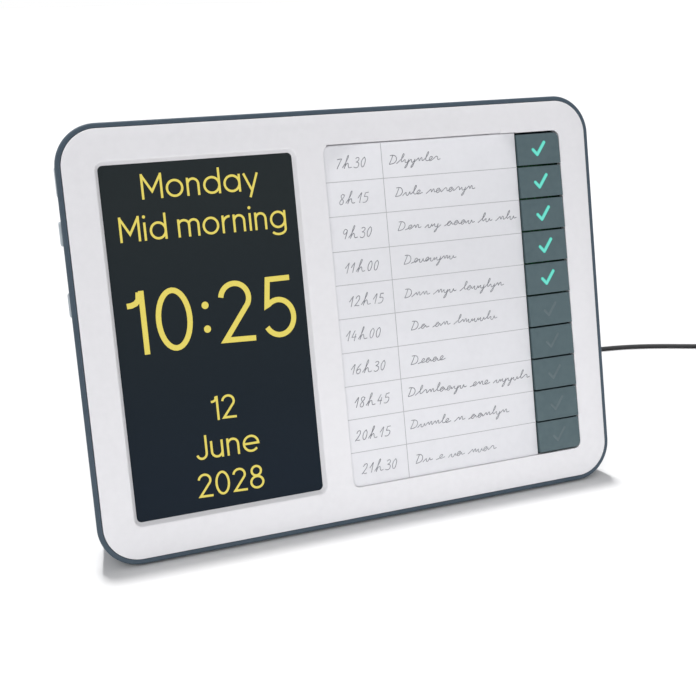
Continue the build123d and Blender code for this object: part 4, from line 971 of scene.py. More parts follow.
def bezel_openings():
    """Cutters of the bezel: the display's window and seat, the card's pocket, the buttons' opening."""
    window = lipped_cutter(
        OPENING, WINDOW_SIZE, WINDOW_R, PANEL_FRONT, WINDOW_SLOPE, LIP_ROUND, WINDOW_RUN
    )
    panel_seat = block(WINDOW, grown(PANEL, SEAT_FIT), -2 * BEZEL_T, -PANEL_FRONT)
    pocket = lipped_cutter(FIELD_MIDDLE, FIELD_SIZE, FIELD_R, POCKET_DEPTH, 0, POCKET_ROUND)
    notch = block((NOTCH_U, FIELD_TOP), (NOTCH_W, 2 * NOTCH_RISE), -POCKET_DEPTH + 0.01, PAST, 0.6, 4)
    scoop = block((NOTCH_U, FIELD_TOP), (SCOOP_W, 2 * SCOOP_RISE), -SCOOP_DEEP, PAST, 1.0, 5)
    slots = []
    ends = (SLOT_START, NOTCH_U - NOTCH_W / 2, KEY_LEFT)
    for left, right, height in zip(ends, ends[1:], (2 * SLOT_RISE, SLOT_RISE)):
        slots.append(block(((left + right) / 2, FIELD_TOP), (right - left, height), -SLOT_DEEP, PAST))
    keyway = block(
        ((CARD_RIGHT + FIELD_RIGHT) / 2, FIELD_MIDDLE[1]),
        grown((FIELD_RIGHT - CARD_RIGHT, FIELD_SIZE[1]), -0.01),
        -2 * BEZEL_T,
        -POCKET_DEPTH + 0.5,
        FIELD_R,
        12,
        corners=lambda point: point.x > FIELD_RIGHT - 1,
    )
    return [window, panel_seat, pocket, notch, scoop, *slots, keyway]


def hollow_post(radius, bore, low, high):
    """Round boss with a pilot hole, open towards the back."""
    skin = [(0, high), (radius, high), (radius, low + 0.3), (radius - 0.3, low)]
    return turned([*skin, (bore, low), (bore, high - 0.6), (0, high - 0.6)], 20)


def panel_frame():
    """Frame on the back of the bezel that keeps the display panel in place, open at its middle."""
    low = -BEZEL_T - FRAME_DEPTH
    rim = block(WINDOW, grown(PANEL, FRAME_GAP + FRAME_WALL), low, -BEZEL_T)
    inside = block(WINDOW, grown(PANEL, FRAME_GAP), low - PAST, 0)
    gaps = block(WINDOW, (PANEL[0] - 2 * FRAME_CORNER, 2 * PANEL[1]), low - PAST, 0)
    return round_edges(cut(rim, inside, gaps), 0.15)


def make_bezel():
    plate = block((0, 0), (BEZEL_W, BEZEL_H), -BEZEL_T, -BAND_DROP, BEZEL_R, 24)
    draw_in(plate, 1, [*rounding(BEZEL_EDGE, 0, pi / 2, 4), *falling_band()])
    cut(plate, *bezel_openings())
    bosses = repeat(hollow_post(BOSS_R, PILOT_R, -BOSS_END, -BEZEL_T), SCREW_SPOTS)
    posts = repeat(hollow_post(POST_R, POST_PILOT_R, -POST_END, -BEZEL_T), POSTS)
    plate = shade(join(plate, bosses, posts, panel_frame()))
    seat(plate, "bezel_moulding", "bezel_white", replaced="front_bezel")


make_bezel()

# ---------------------------------------------------------------- rear housing

RIM_ROUND = 0.9
RIM_GAP = 0.25                # between the rim and the bezel
BACK_ROUND = 3.0
HOUSING_EDGE = 0.3
RECESS_TOP = HINGE_V + 6.7
RECESS_STEP = 7.0             # the wider band at the hinge ends this far below it
RECESS_SIDE = 0.4             # and stands this far outside the ears
RING_H = 3.4                  # ring round the loudspeaker
RING_RISE = 3.0               # of which this much stands inside the wall
RING_R = (SPEAKER_R + 0.2, SPEAKER_R + 1.7)
HOLE_CLEARANCE = 0.25
HOLE_RUN = 8                  # the flank's openings are cut this far in
FOOT_SUNK = 1.8


def recess_outline(margin, top, foot):
    """Outline of the leg's recess: a trapezium with a wider band at the hinge."""
    slope = (LEG_FOOT_W - LEG_TOP_W) / 2 / (HINGE_V - RECESS_FOOT)
    wide = EAR_IN + EAR_T + RECESS_SIDE + margin
    step = HINGE_V - RECESS_STEP - margin
    side = LEG_TOP_W / 2 + RECESS_CLEARANCE + margin
    right = [(wide, top), (wide, step)]
    right += [(side + slope * (HINGE_V - v), v) for v in (step, foot)]
    return right + [(-u, v) for u, v in reversed(right)]


def hinge_ear(start):
    """Ear that holds one end of the hinge pin, drawn from the side."""
    end = start + EAR_T
    hinge = (HINGE_DEPTH, HINGE_V)
    bar = stretch(drum((0, 0), KNUCKLE_R - 0.1, start, end, 32), (RECESS_FLOOR - 1, HINGE_V), hinge)
    cut(bar, drum(hinge, PIN_R, start - PAST, end + PAST))
    return moved(bar, SIDE_TO_BENCH)


def flank_hole(middle, length):
    """Cutter of one opening in the left flank, drawn from the side."""
    size = grown((SIDE_WIDTH, length), HOLE_CLEARANCE)
    hole = block((SIDE_DEPTH, middle), size, -OUTER_W / 2 - PAST, -OUTER_W / 2 + HOLE_RUN, 1.4, 5)
    return moved(hole, SIDE_TO_BENCH)


def foot_pocket(u):
    """Cutter of one rubber foot's pocket, level with the surface that the clock stands on."""
    flank_v = -OUTER_H / 2 + (FOOT_PAD_DEPTH - LIP_BACK) * tan(LEAN)
    middle = FACE @ Vector((u, flank_v, -FOOT_PAD_DEPTH)) / MM
    pocket = block(middle.xy, FOOT_PAD, -PAST, FOOT_SUNK, 2.2, 5)
    return moved(pocket, FACE.inverted() @ TO_METRES)


def speaker_ring():
    near, far = RING_R
    ring = turned([(near, -RING_H), (far, -RING_H), (far, 0), (near, 0), (near, -RING_H)], 48)
    return moved(ring, Matrix.Translation((*SPEAKER, RING_RISE - CAVITY_BACK)))


def grille_slot(across):
    """Cutter of one slot of the round grille, this far from its middle."""
    half = (GRILLE_R**2 - across**2) ** 0.5 - GRILLE_SLOT / 2
    u, v = SPEAKER[0] + across, SPEAKER[1]
    round_bar = drum((0, 0), GRILLE_SLOT / 2, -BODY_DEPTH - PAST, PAST - CAVITY_BACK, 16)
    return stretch(round_bar, (u, v - half), (u, v + half))


def housing_shell():
    """Leaning walls and back with rounded edges, hollow from the front, with the bezel's seat."""
    back_run = BODY_DEPTH - LIP_BACK - BACK_ROUND * (1 - sin(LEAN))
    shell = block((0, 0), (OUTER_W, OUTER_H), -LIP_BACK, -LIP_FRONT - RIM_ROUND, OUTER_R, 24)
    draw_in(shell, -1, [(back_run * tan(LEAN), back_run), *rounding(BACK_ROUND, LEAN, pi / 2)])
    cavity_run = CAVITY_BACK - BEZEL_T
    step_down = [(LIP - RIM_GAP - RIM_ROUND, 0), (0.001, LIP_FRONT - BEZEL_T), (LEDGE + RIM_GAP, 0)]
    cavity = (cavity_run * tan(LEAN), -cavity_run)
    return draw_in(shell, 1, [*rounding(RIM_ROUND, 0, pi / 2), *step_down, cavity])


def make_housing():
    shell = housing_shell()
    around = recess_outline(RECESS_SHELL, RECESS_TOP + RECESS_SHELL, RECESS_FOOT)
    walls = prism(around, -CAVITY_BACK - 0.6, RECESS_SHELL - RECESS_FLOOR)
    bosses = repeat(drum((0, 0), BOSS_R + 0.8, -CAVITY_BACK - 0.4, -BOSS_END - 0.1), SCREW_SPOTS)
    fuse(shell, join(walls, bosses, speaker_ring()))
    recess = prism(recess_outline(0, RECESS_TOP, RECESS_FOOT - 8), -BODY_DEPTH - 2 * PAST, -RECESS_FLOOR)
    shanks = repeat(drum((0, 0), PILOT_R + 0.3, -HEAD_DEPTH - PAST, -BOSS_END + PAST, 20), SCREW_SPOTS)
    cut(shell, recess, shanks)
    wells = repeat(drum((0, 0), HEAD_R + 0.3, -BODY_DEPTH - PAST, -HEAD_DEPTH, 32), SCREW_SPOTS)
    slots = [grille_slot(step * GRILLE_PITCH) for step in range(-3, 4)]
    inlet = drum(INLET, INLET_R, -BODY_DEPTH - PAST, PAST - CAVITY_BACK, 40)
    holes = [flank_hole(middle, length) for middle, length in SIDE_BUTTONS]
    pockets = [foot_pocket(side * FOOT_PAD_U) for side in (-1, 1)]
    cut(shell, join(wells, *slots, inlet, *holes, *pockets))
    fuse(shell, join(hinge_ear(-EAR_IN - EAR_T), hinge_ear(EAR_IN)))
    round_edges(shell, HOUSING_EDGE, 3, SMOOTH)
    seat(shell, "housing_moulding", "housing_slate", replaced="rear_housing")


make_housing()

# ---------------------------------------------------------------- check buttons

KEY_CORNER_R = FIELD_R - 0.5
KEY_MIDDLE_U = (KEY_LEFT + KEY_RIGHT) / 2
KEY_SLOPE = atan2(KEY_PROUD, KEY_H)
KEY_EDGE = 0.16
KEY_SOFT = radians(25)        # on a cap, edges sharper than this get rounded
LENS_PLATE = (9.6, 9.0, 1.0)
TICK_UNLIT_STROKE = 1.2
TICK_FIT = 0.02
TICK_CROWN = [(0.16, 0.05), (0.18, 0.03), (0.16, 0.01)]
KEY_PLANE = Matrix.Translation((0, 0, KEY_PROUD / 2)) @ Matrix.Rotation(-KEY_SLOPE, 4, "X")


def key_v(index):
    """Height of the middle of check button number index, counted from the top."""
    return FIELD_MIDDLE[1] + ((KEY_COUNT - 1) / 2 - index) * KEY_PITCH


def tick_bar(stroke, low, high, steps=8):
    """The two strokes of a tick as one bar of even width with round ends."""
    half = stroke / 2
    first, corner, last = [Vector((TICK_U + u, v)) for u, v in TICK_POINTS]
    down = (corner - first).normalized()
    up = (last - corner).normalized()
    inner = (up - down).normalized()

    def fan(middle, start, end):
        """Points on a circle about an end or a corner, anticlockwise between two directions."""
        begin = atan2(start.y, start.x)
        turn = (atan2(end.y, end.x) - begin) % (2 * pi)
        angles = [begin + turn * step / steps for step in range(steps + 1)]
        return [middle + half * Vector((cos(angle), sin(angle))) for angle in angles]

    side = down.orthogonal()
    other = up.orthogonal()
    outline = fan(first, side, -side) + fan(corner, -side, -other) + fan(last, -other, other)
    outline.append(corner + inner * half / inner.dot(other))
    return prism([tuple(point) for point in outline], low, high)


def make_cap(index, stroke):
    """Wedge-shaped cap, hollow behind, with a stem over its switch and a window for its tick."""
    half = KEY_H / 2
    side = [(KEY_BACK, -half), (-KEY_PROUD, -half), (0, half), (KEY_BACK, half)]
    cap = moved(prism(side, KEY_LEFT, KEY_RIGHT), SIDE_TO_BENCH)
    outer = {0: 1, KEY_COUNT - 1: -1}.get(index)

    def at_corner(edge):
        point = edge.verts[0].co
        return is_upright(edge) and point.x > KEY_MIDDLE_U and point.y * outer > 0

    if outer:
        with editing(cap, "EDGE", at_corner):
            bpy.ops.mesh.bevel(offset=KEY_CORNER_R, segments=8, affect="EDGES")
    hollow = grown((KEY_RIGHT - KEY_LEFT, KEY_H), -KEY_WALL)
    cut(cap, block((KEY_MIDDLE_U, 0), hollow, -KEY_BACK - PAST, -KEY_CROWN, 0.6, 3))
    stem = drum((KEY_STEM_U, 0), KEY_STEM_R, -STEM_TIP, -KEY_CROWN + 0.4, 20)
    flanges = [
        block((u, 0), (KEY_FLANGE_W + 0.4, KEY_H - 4), -KEY_BACK, KEY_FLANGE_T - KEY_BACK)
        for u in (KEY_LEFT - KEY_FLANGE_W / 2 + 0.2, KEY_RIGHT + KEY_FLANGE_W / 2 - 0.2)
    ]
    fuse(cap, join(stem, *flanges))
    cut(cap, tick_bar(stroke, -KEY_CROWN - PAST, KEY_PROUD + PAST))
    return round_edges(cap, KEY_EDGE, 3, KEY_SOFT)


def away_from_tick(point):
    """Distance of a point from the middle line of the tick."""
    best = 100.0
    corners = [Vector((TICK_U + u, v)) for u, v in TICK_POINTS]
    for start, end in zip(corners, corners[1:]):
        along = end - start
        part = max(0.0, min(1.0, (point - start).dot(along) / along.length_squared))
        best = min(best, (point - start - along * part).length)
    return best


def make_lens(stroke):
    """Tick that fills the cap's window, crowned a little, on a plate under the cap's roof."""
    half = stroke / 2 - TICK_FIT
    tick = tick_bar(2 * half, -KEY_CROWN - 0.6, -0.06)
    moved(draw_in(tick, 1, TICK_CROWN), KEY_PLANE)
    *size, thickness = LENS_PLATE
    lens = join(tick, block((TICK_U, 0), size, -KEY_CROWN - thickness, -KEY_CROWN - 0.01, 0.8, 4))
    only(lens)
    bpy.ops.object.shade_smooth_by_angle(angle=SMOOTH)
    middle = lens.data.attributes.new("middle", "FLOAT", "POINT")
    for point, value in zip(lens.data.vertices, middle.data):
        value.value = max(0.0, 1.0 - away_from_tick(point.co.xy) / half)
    return lens


def make_check_buttons():
    for index in range(KEY_COUNT):
        lit = index < KEY_LIT
        slot, stroke = ("tick_lit", TICK_STROKE) if lit else ("tick_unlit", TICK_UNLIT_STROKE)
        number = f"{index + 1:02d}"
        body = f"check_key_{number}"
        place = FACE @ Matrix.Translation((0, key_v(index), 0))
        cap, lens = make_cap(index, stroke), make_lens(stroke)
        seat(cap, f"check_cap_{number}", "key_slate", place, f"check_button_{number}", body)
        seat(lens, f"tick_{number}", slot, place, f"tick_lens_{number}", body)


make_check_buttons()

# ---------------------------------------------------------------- buttons of the left flank

SIDE_TIPS = [-128.5, -129.2, -128.9]
SIDE_FLANGE_U = -123.2
SIDE_STEM_U = -121.9
SIDE_STEM_R = 1.3


def make_side_buttons():
    for number, ((v, length), tip) in enumerate(zip(SIDE_BUTTONS, SIDE_TIPS), start=1):
        middle = (SIDE_DEPTH, v)
        cap = block(middle, (SIDE_WIDTH, length), tip + 0.5, SIDE_FLANGE_U, 1.2, 5)
        draw_in(cap, -1, [(0.15, 0.25), (0.35, 0.15), (0.8, 0.1)])
        wide = (SIDE_WIDTH - 0.6, length + 2.4)
        flange = block(middle, wide, SIDE_FLANGE_U - 0.1, SIDE_FLANGE_U + 1.0)
        fuse(cap, flange, drum(middle, SIDE_STEM_R, SIDE_FLANGE_U + 0.9, SIDE_STEM_U, 16))
        round_edges(cap, 0.15)
        name, body = f"flank_button_{number}", f"side_key_{number}"
        # the pale grey of these buttons is a painted highlight
        seat(cap, name, "flank_grey", SIDEWAYS, f"side_button_{number}", body)


make_side_buttons()

# ---------------------------------------------------------------- fold-out leg

LEG_SLOPE = (LEG_FOOT_W - LEG_TOP_W) / 2 / LEG_LENGTH
LEG_RIM = 2.2
LEG_ROUND = 0.6
LEG_HOLLOWS = (12.0, 118.0)   # the hollows run between these distances below the hinge
LEG_WEB = 2.0                 # thickness left behind the hollows
LEG_RIB = 1.2                 # half the centre rib
SCOOP_R = 4.6                 # finger scoop: its radius, half length, depth, and how far above the foot
SCOOP_HALF = 8
SCOOP_DEPTH = 1.6
SCOOP_UP = 12
SCOOP_SIDES = 40


def leg_half(down):
    return LEG_TOP_W / 2 + LEG_SLOPE * down


def hinge_bar(radius, half_length, sides):
    """Round bar along the hinge's line."""
    bar = drum((0, 0), radius, -half_length, half_length, sides)
    return moved(bar, Matrix.Rotation(pi / 2, 4, "Y"))


def finger_scoop():
    """Cutter with soft ends, sunk into the outer face of the leg."""
    ball = primitive(
        bpy.ops.mesh.primitive_uv_sphere_add,
        segments=SCOOP_SIDES,
        ring_count=SCOOP_SIDES // 2,
        radius=SCOOP_R,
        rotation=(0, 0, pi / SCOOP_SIDES),
    )
    ball.scale.z = SCOOP_DEPTH / SCOOP_R
    down = LEG_LENGTH - SCOOP_UP
    return stretch(ball, (-SCOOP_HALF, down), (SCOOP_HALF, down), LEG_T - LEG_INNER)


def make_leg():
    """Tapered leg: knuckle on the hinge pin, hollow inner side, finger scoop near the foot."""
    outline = [(leg_half(max(0, down)), down) for down in (-LEG_HEEL, 0, LEG_LENGTH + 4)]
    outline += [(-u, down) for u, down in reversed(outline)]
    leg = prism(outline, -LEG_INNER, LEG_T - LEG_INNER)
    apply_modifier(leg, "BEVEL", width=LEG_ROUND, segments=4, limit_method="ANGLE", angle_limit=SOFT)
    fuse(leg, hinge_bar(KNUCKLE_R - 0.2, LEG_TOP_W / 2, 40))
    top, foot = LEG_HOLLOWS
    outline = [(LEG_RIB, top), (leg_half(top) - LEG_RIM, top)]
    outline += [(leg_half(foot) - LEG_RIM, foot), (LEG_RIB, foot)]
    hollows = [
        prism([(side * u, v) for u, v in outline], -LEG_INNER - PAST, LEG_T - LEG_INNER - LEG_WEB)
        for side in (-1, 1)
    ]
    cut(leg, hinge_bar(PIN_R + 0.05, LEG_TOP_W, 32), join(*hollows), finger_scoop())
    to_leg = LEG.inverted()
    with editing(leg):
        bpy.ops.mesh.bisect(
            plane_co=to_leg @ Vector((0, HINGE.y, PAD_T * MM)),
            plane_no=(to_leg.to_3x3() @ Vector((0, 0, -1))).normalized(),
            use_fill=True,
            clear_outer=True,
        )
    seat(shade(leg), "fold_out_leg", "housing_slate", LEG, "stand_leg", "stand")


make_leg()

# ---------------------------------------------------------------- case screws

CROSS_ARM = (3.3, 0.75)
CROSS_DEPTH = 1.1


def make_case_screws():
    """Pan-head screws with a cross recess, seen down their wells in the back."""
    top = HEAD_DEPTH + HEAD_T
    head = [(0, -top), (1.6, -top), (2.4, -top + 0.25), (HEAD_R, -top + 0.9), (HEAD_R, -HEAD_DEPTH)]
    shank = [(PILOT_R, -HEAD_DEPTH), (PILOT_R, -SHANK_END - 1.5), (0.5, -SHANK_END), (0, -SHANK_END)]
    screw = turned(head + shank)
    sizes = (CROSS_ARM, CROSS_ARM[::-1])
    arms = [block((0, 0), size, -top - PAST, -top + CROSS_DEPTH) for size in sizes]
    screws = repeat(round_edges(cut(screw, *arms), 0.06), SCREW_SPOTS)
    seat(screws, "case_screws", "bright_steel", replaced="housing_screws")


make_case_screws()

# ---------------------------------------------------------------- pieces carried over from the frame

# for each finish, the pieces that keep the frame's shape, and the width of their rounded edges
CARRIED = {
    "display_glass": {"lcd_panel": 0.1},
    "pressed_steel": {"backlight_frame": 0.3, "lcd_clips": 0.1, "speaker_frame": 0.15},
    "ribbon_amber": {"lcd_ribbon": 0.05},
    "card_white": {"planner_card": 0.08},
    "circuit_board": {"key_board": 0.1, "main_board": 0.1, "side_board": 0.1},
    "switch_black": {
        "key_switches": 0.15,
        "side_switches": 0.15,
        "board_components": 0.12,
        "cell_holder": 0.2,
        "dc_socket": 0.15,
    },
    "led_resin": {"tick_leds": 0.15},
    "bright_steel": {"coin_cell": 0.2, "stand_hinge_pin": 0.2, "board_screws": 0.12},
    "cone_paper": {"speaker_cone": 0.1},
    "magnet_grey": {"speaker_magnet": 0.25},
    "foot_rubber": {"rubber_feet": 0.35, "stand_foot_pad": 0.3},
}


def live_modifier(piece, kind, **values):
    adjust(piece.modifiers.new(kind.lower(), kind), **values)


def carry_over(node, finish, width):
    """Finish a piece of the frame and round its edges, leaving its own points alone."""
    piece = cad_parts[node]
    piece.data.materials.clear()
    piece.data.materials.append(FINISH[finish])
    live_modifier(piece, "WELD", merge_threshold=0.001 * MM)
    live_modifier(piece, "DECIMATE", decimate_type="DISSOLVE", angle_limit=radians(1))
    live_modifier(piece, "BEVEL", width=width * MM, segments=2, limit_method="ANGLE", angle_limit=SOFT)


for finish_name, nodes in CARRIED.items():
    for node_name, edge_width in nodes.items():
        carry_over(node_name, finish_name, edge_width)

# ---------------------------------------------------------------- characters of the display

PRINT_RISE = 0.02             # drawn lines stand this far off what carries them


def drawn_lines(strokes, width, smooth=False):
    """Flat lines of one width along strokes, each a list of points and whether it is closed."""
    ends = 0 if smooth else 1
    curve = new_curve("lines", "2D", fill_mode="NONE", bevel_depth=width / 2, bevel_resolution=ends)
    for points, closed in strokes:
        add_line(curve, "NURBS" if smooth else "POLY", points, closed)
    drawing = as_mesh(new_object("lines", curve))
    with editing(drawing):
        bpy.ops.mesh.remove_doubles(threshold=0.0001)
        bpy.ops.mesh.fill_holes(sides=0)
        bpy.ops.mesh.normals_make_consistent(inside=False)
    drawing.scale.z = 2 * PRINT_RISE / width
    return settle(drawing)


def arc(middle, radii, start, end, steps=18):
    """Points of an arc of an ellipse, its angles in degrees."""
    points = []
    for step in range(steps + 1):
        angle = radians(start + (end - start) * step / steps)
        points.append((middle[0] + radii[0] * cos(angle), middle[1] + radii[1] * sin(angle)))
    return points


def ring(middle, radii, steps=36):
    return arc(middle, radii, 0, 360 * (steps - 1) / steps, steps - 1), True


def open_line(*points):
    return list(points), False


X_HEIGHT = 0.72
LETTER_GAP = 0.13
SPACE = 0.34


def letter_table(s):
    """Plain round letters and figures of height 1; s is half the width of their strokes."""
    x = X_HEIGHT

    def post(u, low=0, high=x):
        return open_line((u, low), (u, high))

    def dot(u, v, steps=20):
        return ring((u, v), (0.35 * s, 0.35 * s), steps)

    def oval(u, v, half_w, half_h):
        return ring((u, v), (half_w - s, half_h - s))

    bowl = oval(0.36, x / 2, 0.36, x / 2)
    stem = 0.72 - s
    arch_r = 0.27 - s
    arch_end = s + 2 * arch_r
    return {
        "M": (0.86, [
            post(s, 0, 1),
            post(0.86 - s, 0, 1),
            open_line((s, 0.95), (0.43, 0.3), (0.86 - s, 0.95)),
        ]),
        "J": (0.5, [open_line((0.5 - s, 1), *arc((0.25, 0.27), (0.25 - s, 0.27 - s), 0, -165))]),
        "o": (0.72, [bowl]),
        "n": (0.56, [
            post(s),
            open_line(*arc((s + arch_r, x - s - arch_r), (arch_r, arch_r), 165, 0), (arch_end, 0)),
        ]),
        "m": (0.94, [
            post(s),
            open_line(*arc((0.27, x - 0.23), (0.27 - s, 0.23 - s), 165, 0), (0.54 - s, 0)),
            open_line(*arc((0.69, x - 0.23), (0.25 - s, 0.23 - s), 165, 0), (0.94 - s, 0)),
        ]),
        "u": (0.56, [
            open_line((s, x), *arc((s + arch_r, s + arch_r), (arch_r, arch_r), 180, 345)),
            post(arch_end, x, 0),
        ]),
        "d": (0.72, [bowl, post(stem, 0, 1.04)]),
        "a": (0.72, [bowl, post(stem)]),
        "g": (0.72, [
            bowl,
            open_line((stem, x), (stem, -0.04), *arc((0.36, -0.04), (0.36 - s, 0.25 - s), -6, -150)),
        ]),
        "y": (0.62, [open_line((0.02, x), (0.33, 0.02)), open_line((0.6, x), (0.24, -0.26))]),
        "i": (0.14, [post(0.07), dot(0.07, 0.94, 16)]),
        "r": (0.36, [post(s), open_line(*arc((0.34, x - s - 0.3), (0.34 - s, 0.3), 170, 86))]),
        "e": (0.72, [open_line((s, x / 2), *arc((0.36, x / 2), (0.36 - s, x / 2 - s), 0, 318, 32))]),
        "0": (0.62, [oval(0.31, 0.5, 0.31, 0.5)]),
        "1": (0.3, [
            post(0.3 - s, 0, 1),
            open_line((0, 0.78), (0.08, 0.785), (0.15, 0.81), (0.2, 0.86), (0.3 - 2 * s, 0.98)),
        ]),
        "2": (0.6, [
            open_line(
                *arc((0.29, 0.72), (0.29 - s, 0.28 - s), 172, -28, 20), (0.06, 0.02 + s), (0.6, s)
            ),
        ]),
        "5": (0.6, [
            open_line(
                (0.54, 1 - s),
                (0.14, 1 - s),
                (0.09, 0.54),
                *arc((0.29, 0.33), (0.31 - s, 0.33 - s), 128, -150, 26),
            ),
        ]),
        "8": (0.62, [oval(0.31, 0.755, 0.25, 0.245), oval(0.31, 0.285, 0.31, 0.285)]),
        ":": (0.16, [dot(0.08, 0.28), dot(0.08, 0.66)]),
    }


def set_line(text, height, stroke, base, squeeze=1.0, gap=LETTER_GAP):
    """Strokes of a line of text, centred on the display's lines and standing on its base."""
    table = letter_table(stroke / height / 2)
    strokes = []
    pen = 0.0
    for letter in text:
        if letter == " ":
            pen += SPACE
            continue
        width, shapes = table[letter]
        strokes += [([(pen + x, y) for x, y in points], closed) for points, closed in shapes]
        pen += width + gap
    half = (pen - gap) / 2

    def place(x, y):
        return DISPLAY_MIDDLE + (x - half) * height * squeeze, base + y * height

    return [([place(x, y) for x, y in points], closed) for points, closed in strokes]


DISPLAY_MIDDLE = -67.9        # the lines are centred on this column
SMALL = (10.8, 1.02)          # height and stroke of the day and date
LARGE = (27.6, 2.4)           # height and stroke of the time
# each line of the day and date: text, base, squeeze
DISPLAY_LINES = [
    ("Monday", 61.7, 1.0),
    ("Mid morning", 44.2, 0.96),
    ("12", -37.5, 1.0),
    ("June", -54.1, 1.0),
    ("2028", -71.1, 1.0),
]
TIME_BASE = -4.5
TIME_SQUEEZE = 0.94
TIME_GAP = 0.16


def make_display_text():
    small = []
    for text, base, squeeze in DISPLAY_LINES:
        small += set_line(text, *SMALL, base, squeeze)
    large = set_line("10:25", *LARGE, TIME_BASE, TIME_SQUEEZE, TIME_GAP)
    for name, strokes, width in (("day_and_date", small, SMALL[1]), ("time_of_day", large, LARGE[1])):
        seat(lifted(drawn_lines(strokes, width), -PANEL_FRONT + PRINT_RISE / 2), name, "display_text")


make_display_text()

# ---------------------------------------------------------------- print and handwriting of the planner

RULE_W = 0.3
RULE_U = 18.1
RULE_V = [62.3, 46.7, 30.8, 15.5, 0.0, -15.7, -31.2, -46.7, -62.3]
PEN_W = 0.34
TIMES = ["7h30", "8h15", "9h30", "11h00", "12h15", "14h00", "16h30", "18h45", "20h15", "21h30"]
TIMES_U = [-5.1, -4.9, -5.1, -5.3, -4.8, -7.9, -7.0, -6.7, -7.7, -5.8]
FIGURE_H = 4.5
FIGURE_GAP = 0.26
# how many letters each scribble of an entry has
WORDS = [(7,), (3, 7), (2, 2, 4, 2, 3), (7,), (2, 3, 7), (1, 2, 7), (4,), (8, 3, 6), (5, 1, 6)]
WORDS += [(1, 1, 2, 4)]
WORDS_U = [21.5, 23.2, 23.0, 24.6, 23.4, 25.4, 23.8, 20.9, 20.7, 21.9]
WRITING_H = 2.15              # height of the small letters
WRITING_WIDE = 2.25           # how far the letters are drawn out sideways
WRITING_LEAN = 0.3
WORD_GAP = 0.8
PEN_SHAKE = 0.07
HAND_SEED = 12
BASE_DROP = 1.6               # an entry's base lies this far below its row's middle
TIME_DROP = 0.8               # and a time's this much lower
BASE_SHAKE = (-0.5, 0.8)

# figures as a pen draws them, in heights: width and strokes
PEN_FIGURES = {
    "0": (0.44, ["30,100 8,90 0,45 12,2 36,4 45,50 42,88 22,102"]),
    "1": (0.36, ["0,50 20,86 32,103", "32,103 30,50 27,0"]),
    "2": (0.52, ["4,74 10,100 40,104 46,70 26,34 0,2", "0,2 14,12 30,2 54,6"]),
    "3": (0.48, ["4,90 20,106 46,92 38,64 14,56", "14,56 50,52 52,8 20,-6 0,12"]),
    "4": (0.50, ["26,100 12,60 0,34", "0,34 24,34 50,36", "40,66 37,30 36,-4"]),
    "5": (0.50, ["46,100 30,99 12,98", "12,98 10,80 8,58", "8,58 44,66 54,26 28,-5 0,6"]),
    "6": (0.46, ["38,100 10,74 -2,30 14,-4 42,4 46,40 24,52 4,34"]),
    "7": (0.48, ["0,92 20,100 50,98", "50,98 30,50 18,0"]),
    "8": (0.46, ["42,88 22,106 2,86 16,58 42,36 40,2 14,-4 0,22 20,52 44,74 40,96"]),
    "9": (0.46, ["42,86 24,104 2,84 8,50 34,50 46,86", "46,86 44,50 34,0"]),
    "h": (0.98, ["0,8 26,50 50,114 40,134 28,100 22,0", "22,0 30,42 54,56 62,20 74,0 102,10"]),
}

# turns of a running hand that spell nothing: points in hundredths, then the advance
PEN_TURNS = [
    ("8,60 26,104 44,80 46,6", 0.56),
    ("50,92 12,104 2,20 30,-6 50,90 56,2", 0.68),
    ("24,34 44,86 22,108 4,50 22,-4", 0.48),
    ("10,98 8,8 34,-4 46,98 52,4", 0.6),
    ("8,66 20,102 32,10 42,94 56,94 60,4", 0.7),
]
PEN_TALL = ("26,90 44,190 30,216 18,120 24,4", 0.46)
PEN_DEEP = ("10,98 12,10 40,10 50,96 42,-80 16,-110 24,-50", 0.6)
PEN_OPENING = "24,190 16,90 2,2 10,0 60,14 74,110 40,200 -6,184"
OPENING_STEP = 0.9 * 1.15     # from the opening stroke to the first letter
LETTER_STEP = 1.1
WORD_LEAD = (0.25, 0.1)       # run-in of a word, back and up
WORD_END = (0.2, 0.4)         # run-out of a word, on and up
TALL_BELOW = 0.16             # chance of a tall turn, and of one that goes deep
DEEP_ABOVE = 0.92


def pen_points(text):
    """Points written as pairs of hundredths."""
    pairs = [pair.split(",") for pair in text.split()]
    return [(int(x) / 100, int(y) / 100) for x, y in pairs]


def lean_over(text, origin, size, hand):
    """Points of handwriting, slanted, sized (width, height) and put in place a little unevenly."""
    wide, high = size
    placed = []
    for x, y in pen_points(text):
        u = origin[0] + x * wide + y * WRITING_LEAN * high + hand.uniform(-1, 1) * PEN_SHAKE
        placed.append((u, origin[1] + y * high + hand.uniform(-1, 1) * PEN_SHAKE))
    return placed


def written_time(text, start, base, hand):
    """Strokes of one time of day."""
    strokes = []
    pen = start
    for letter in text:
        advance, shapes = PEN_FIGURES[letter]
        for shape in shapes:
            strokes.append((lean_over(shape, (pen, base), (FIGURE_H, FIGURE_H), hand), False))
        pen += (advance + FIGURE_GAP) * FIGURE_H
    return strokes


def written_words(lengths, start, base, hand):
    """Strokes of a few running scribbles that stand for an entry, one stroke a word."""
    size = (WRITING_WIDE * WRITING_H, WRITING_H)
    strokes = [(lean_over(PEN_OPENING, (start, base), size, hand), False)]
    pen = start + OPENING_STEP * size[0]
    for length in lengths:
        points = [(pen - WORD_LEAD[0] * size[0], base + WORD_LEAD[1])]
        for letter in range(length):
            turn, advance = hand.choice(PEN_TURNS)
            chance = hand.random()
            if chance < TALL_BELOW and letter < length - 1:
                turn, advance = PEN_TALL
            elif chance > DEEP_ABOVE and letter > 0:
                turn, advance = PEN_DEEP
            points += lean_over(turn, (pen, base), size, hand)
            pen += advance * LETTER_STEP * size[0]
        points.append((pen + WORD_END[0] * size[0], base + WORD_END[1] * size[1]))
        strokes.append((points, False))
        pen += WORD_GAP * size[0]
    return strokes


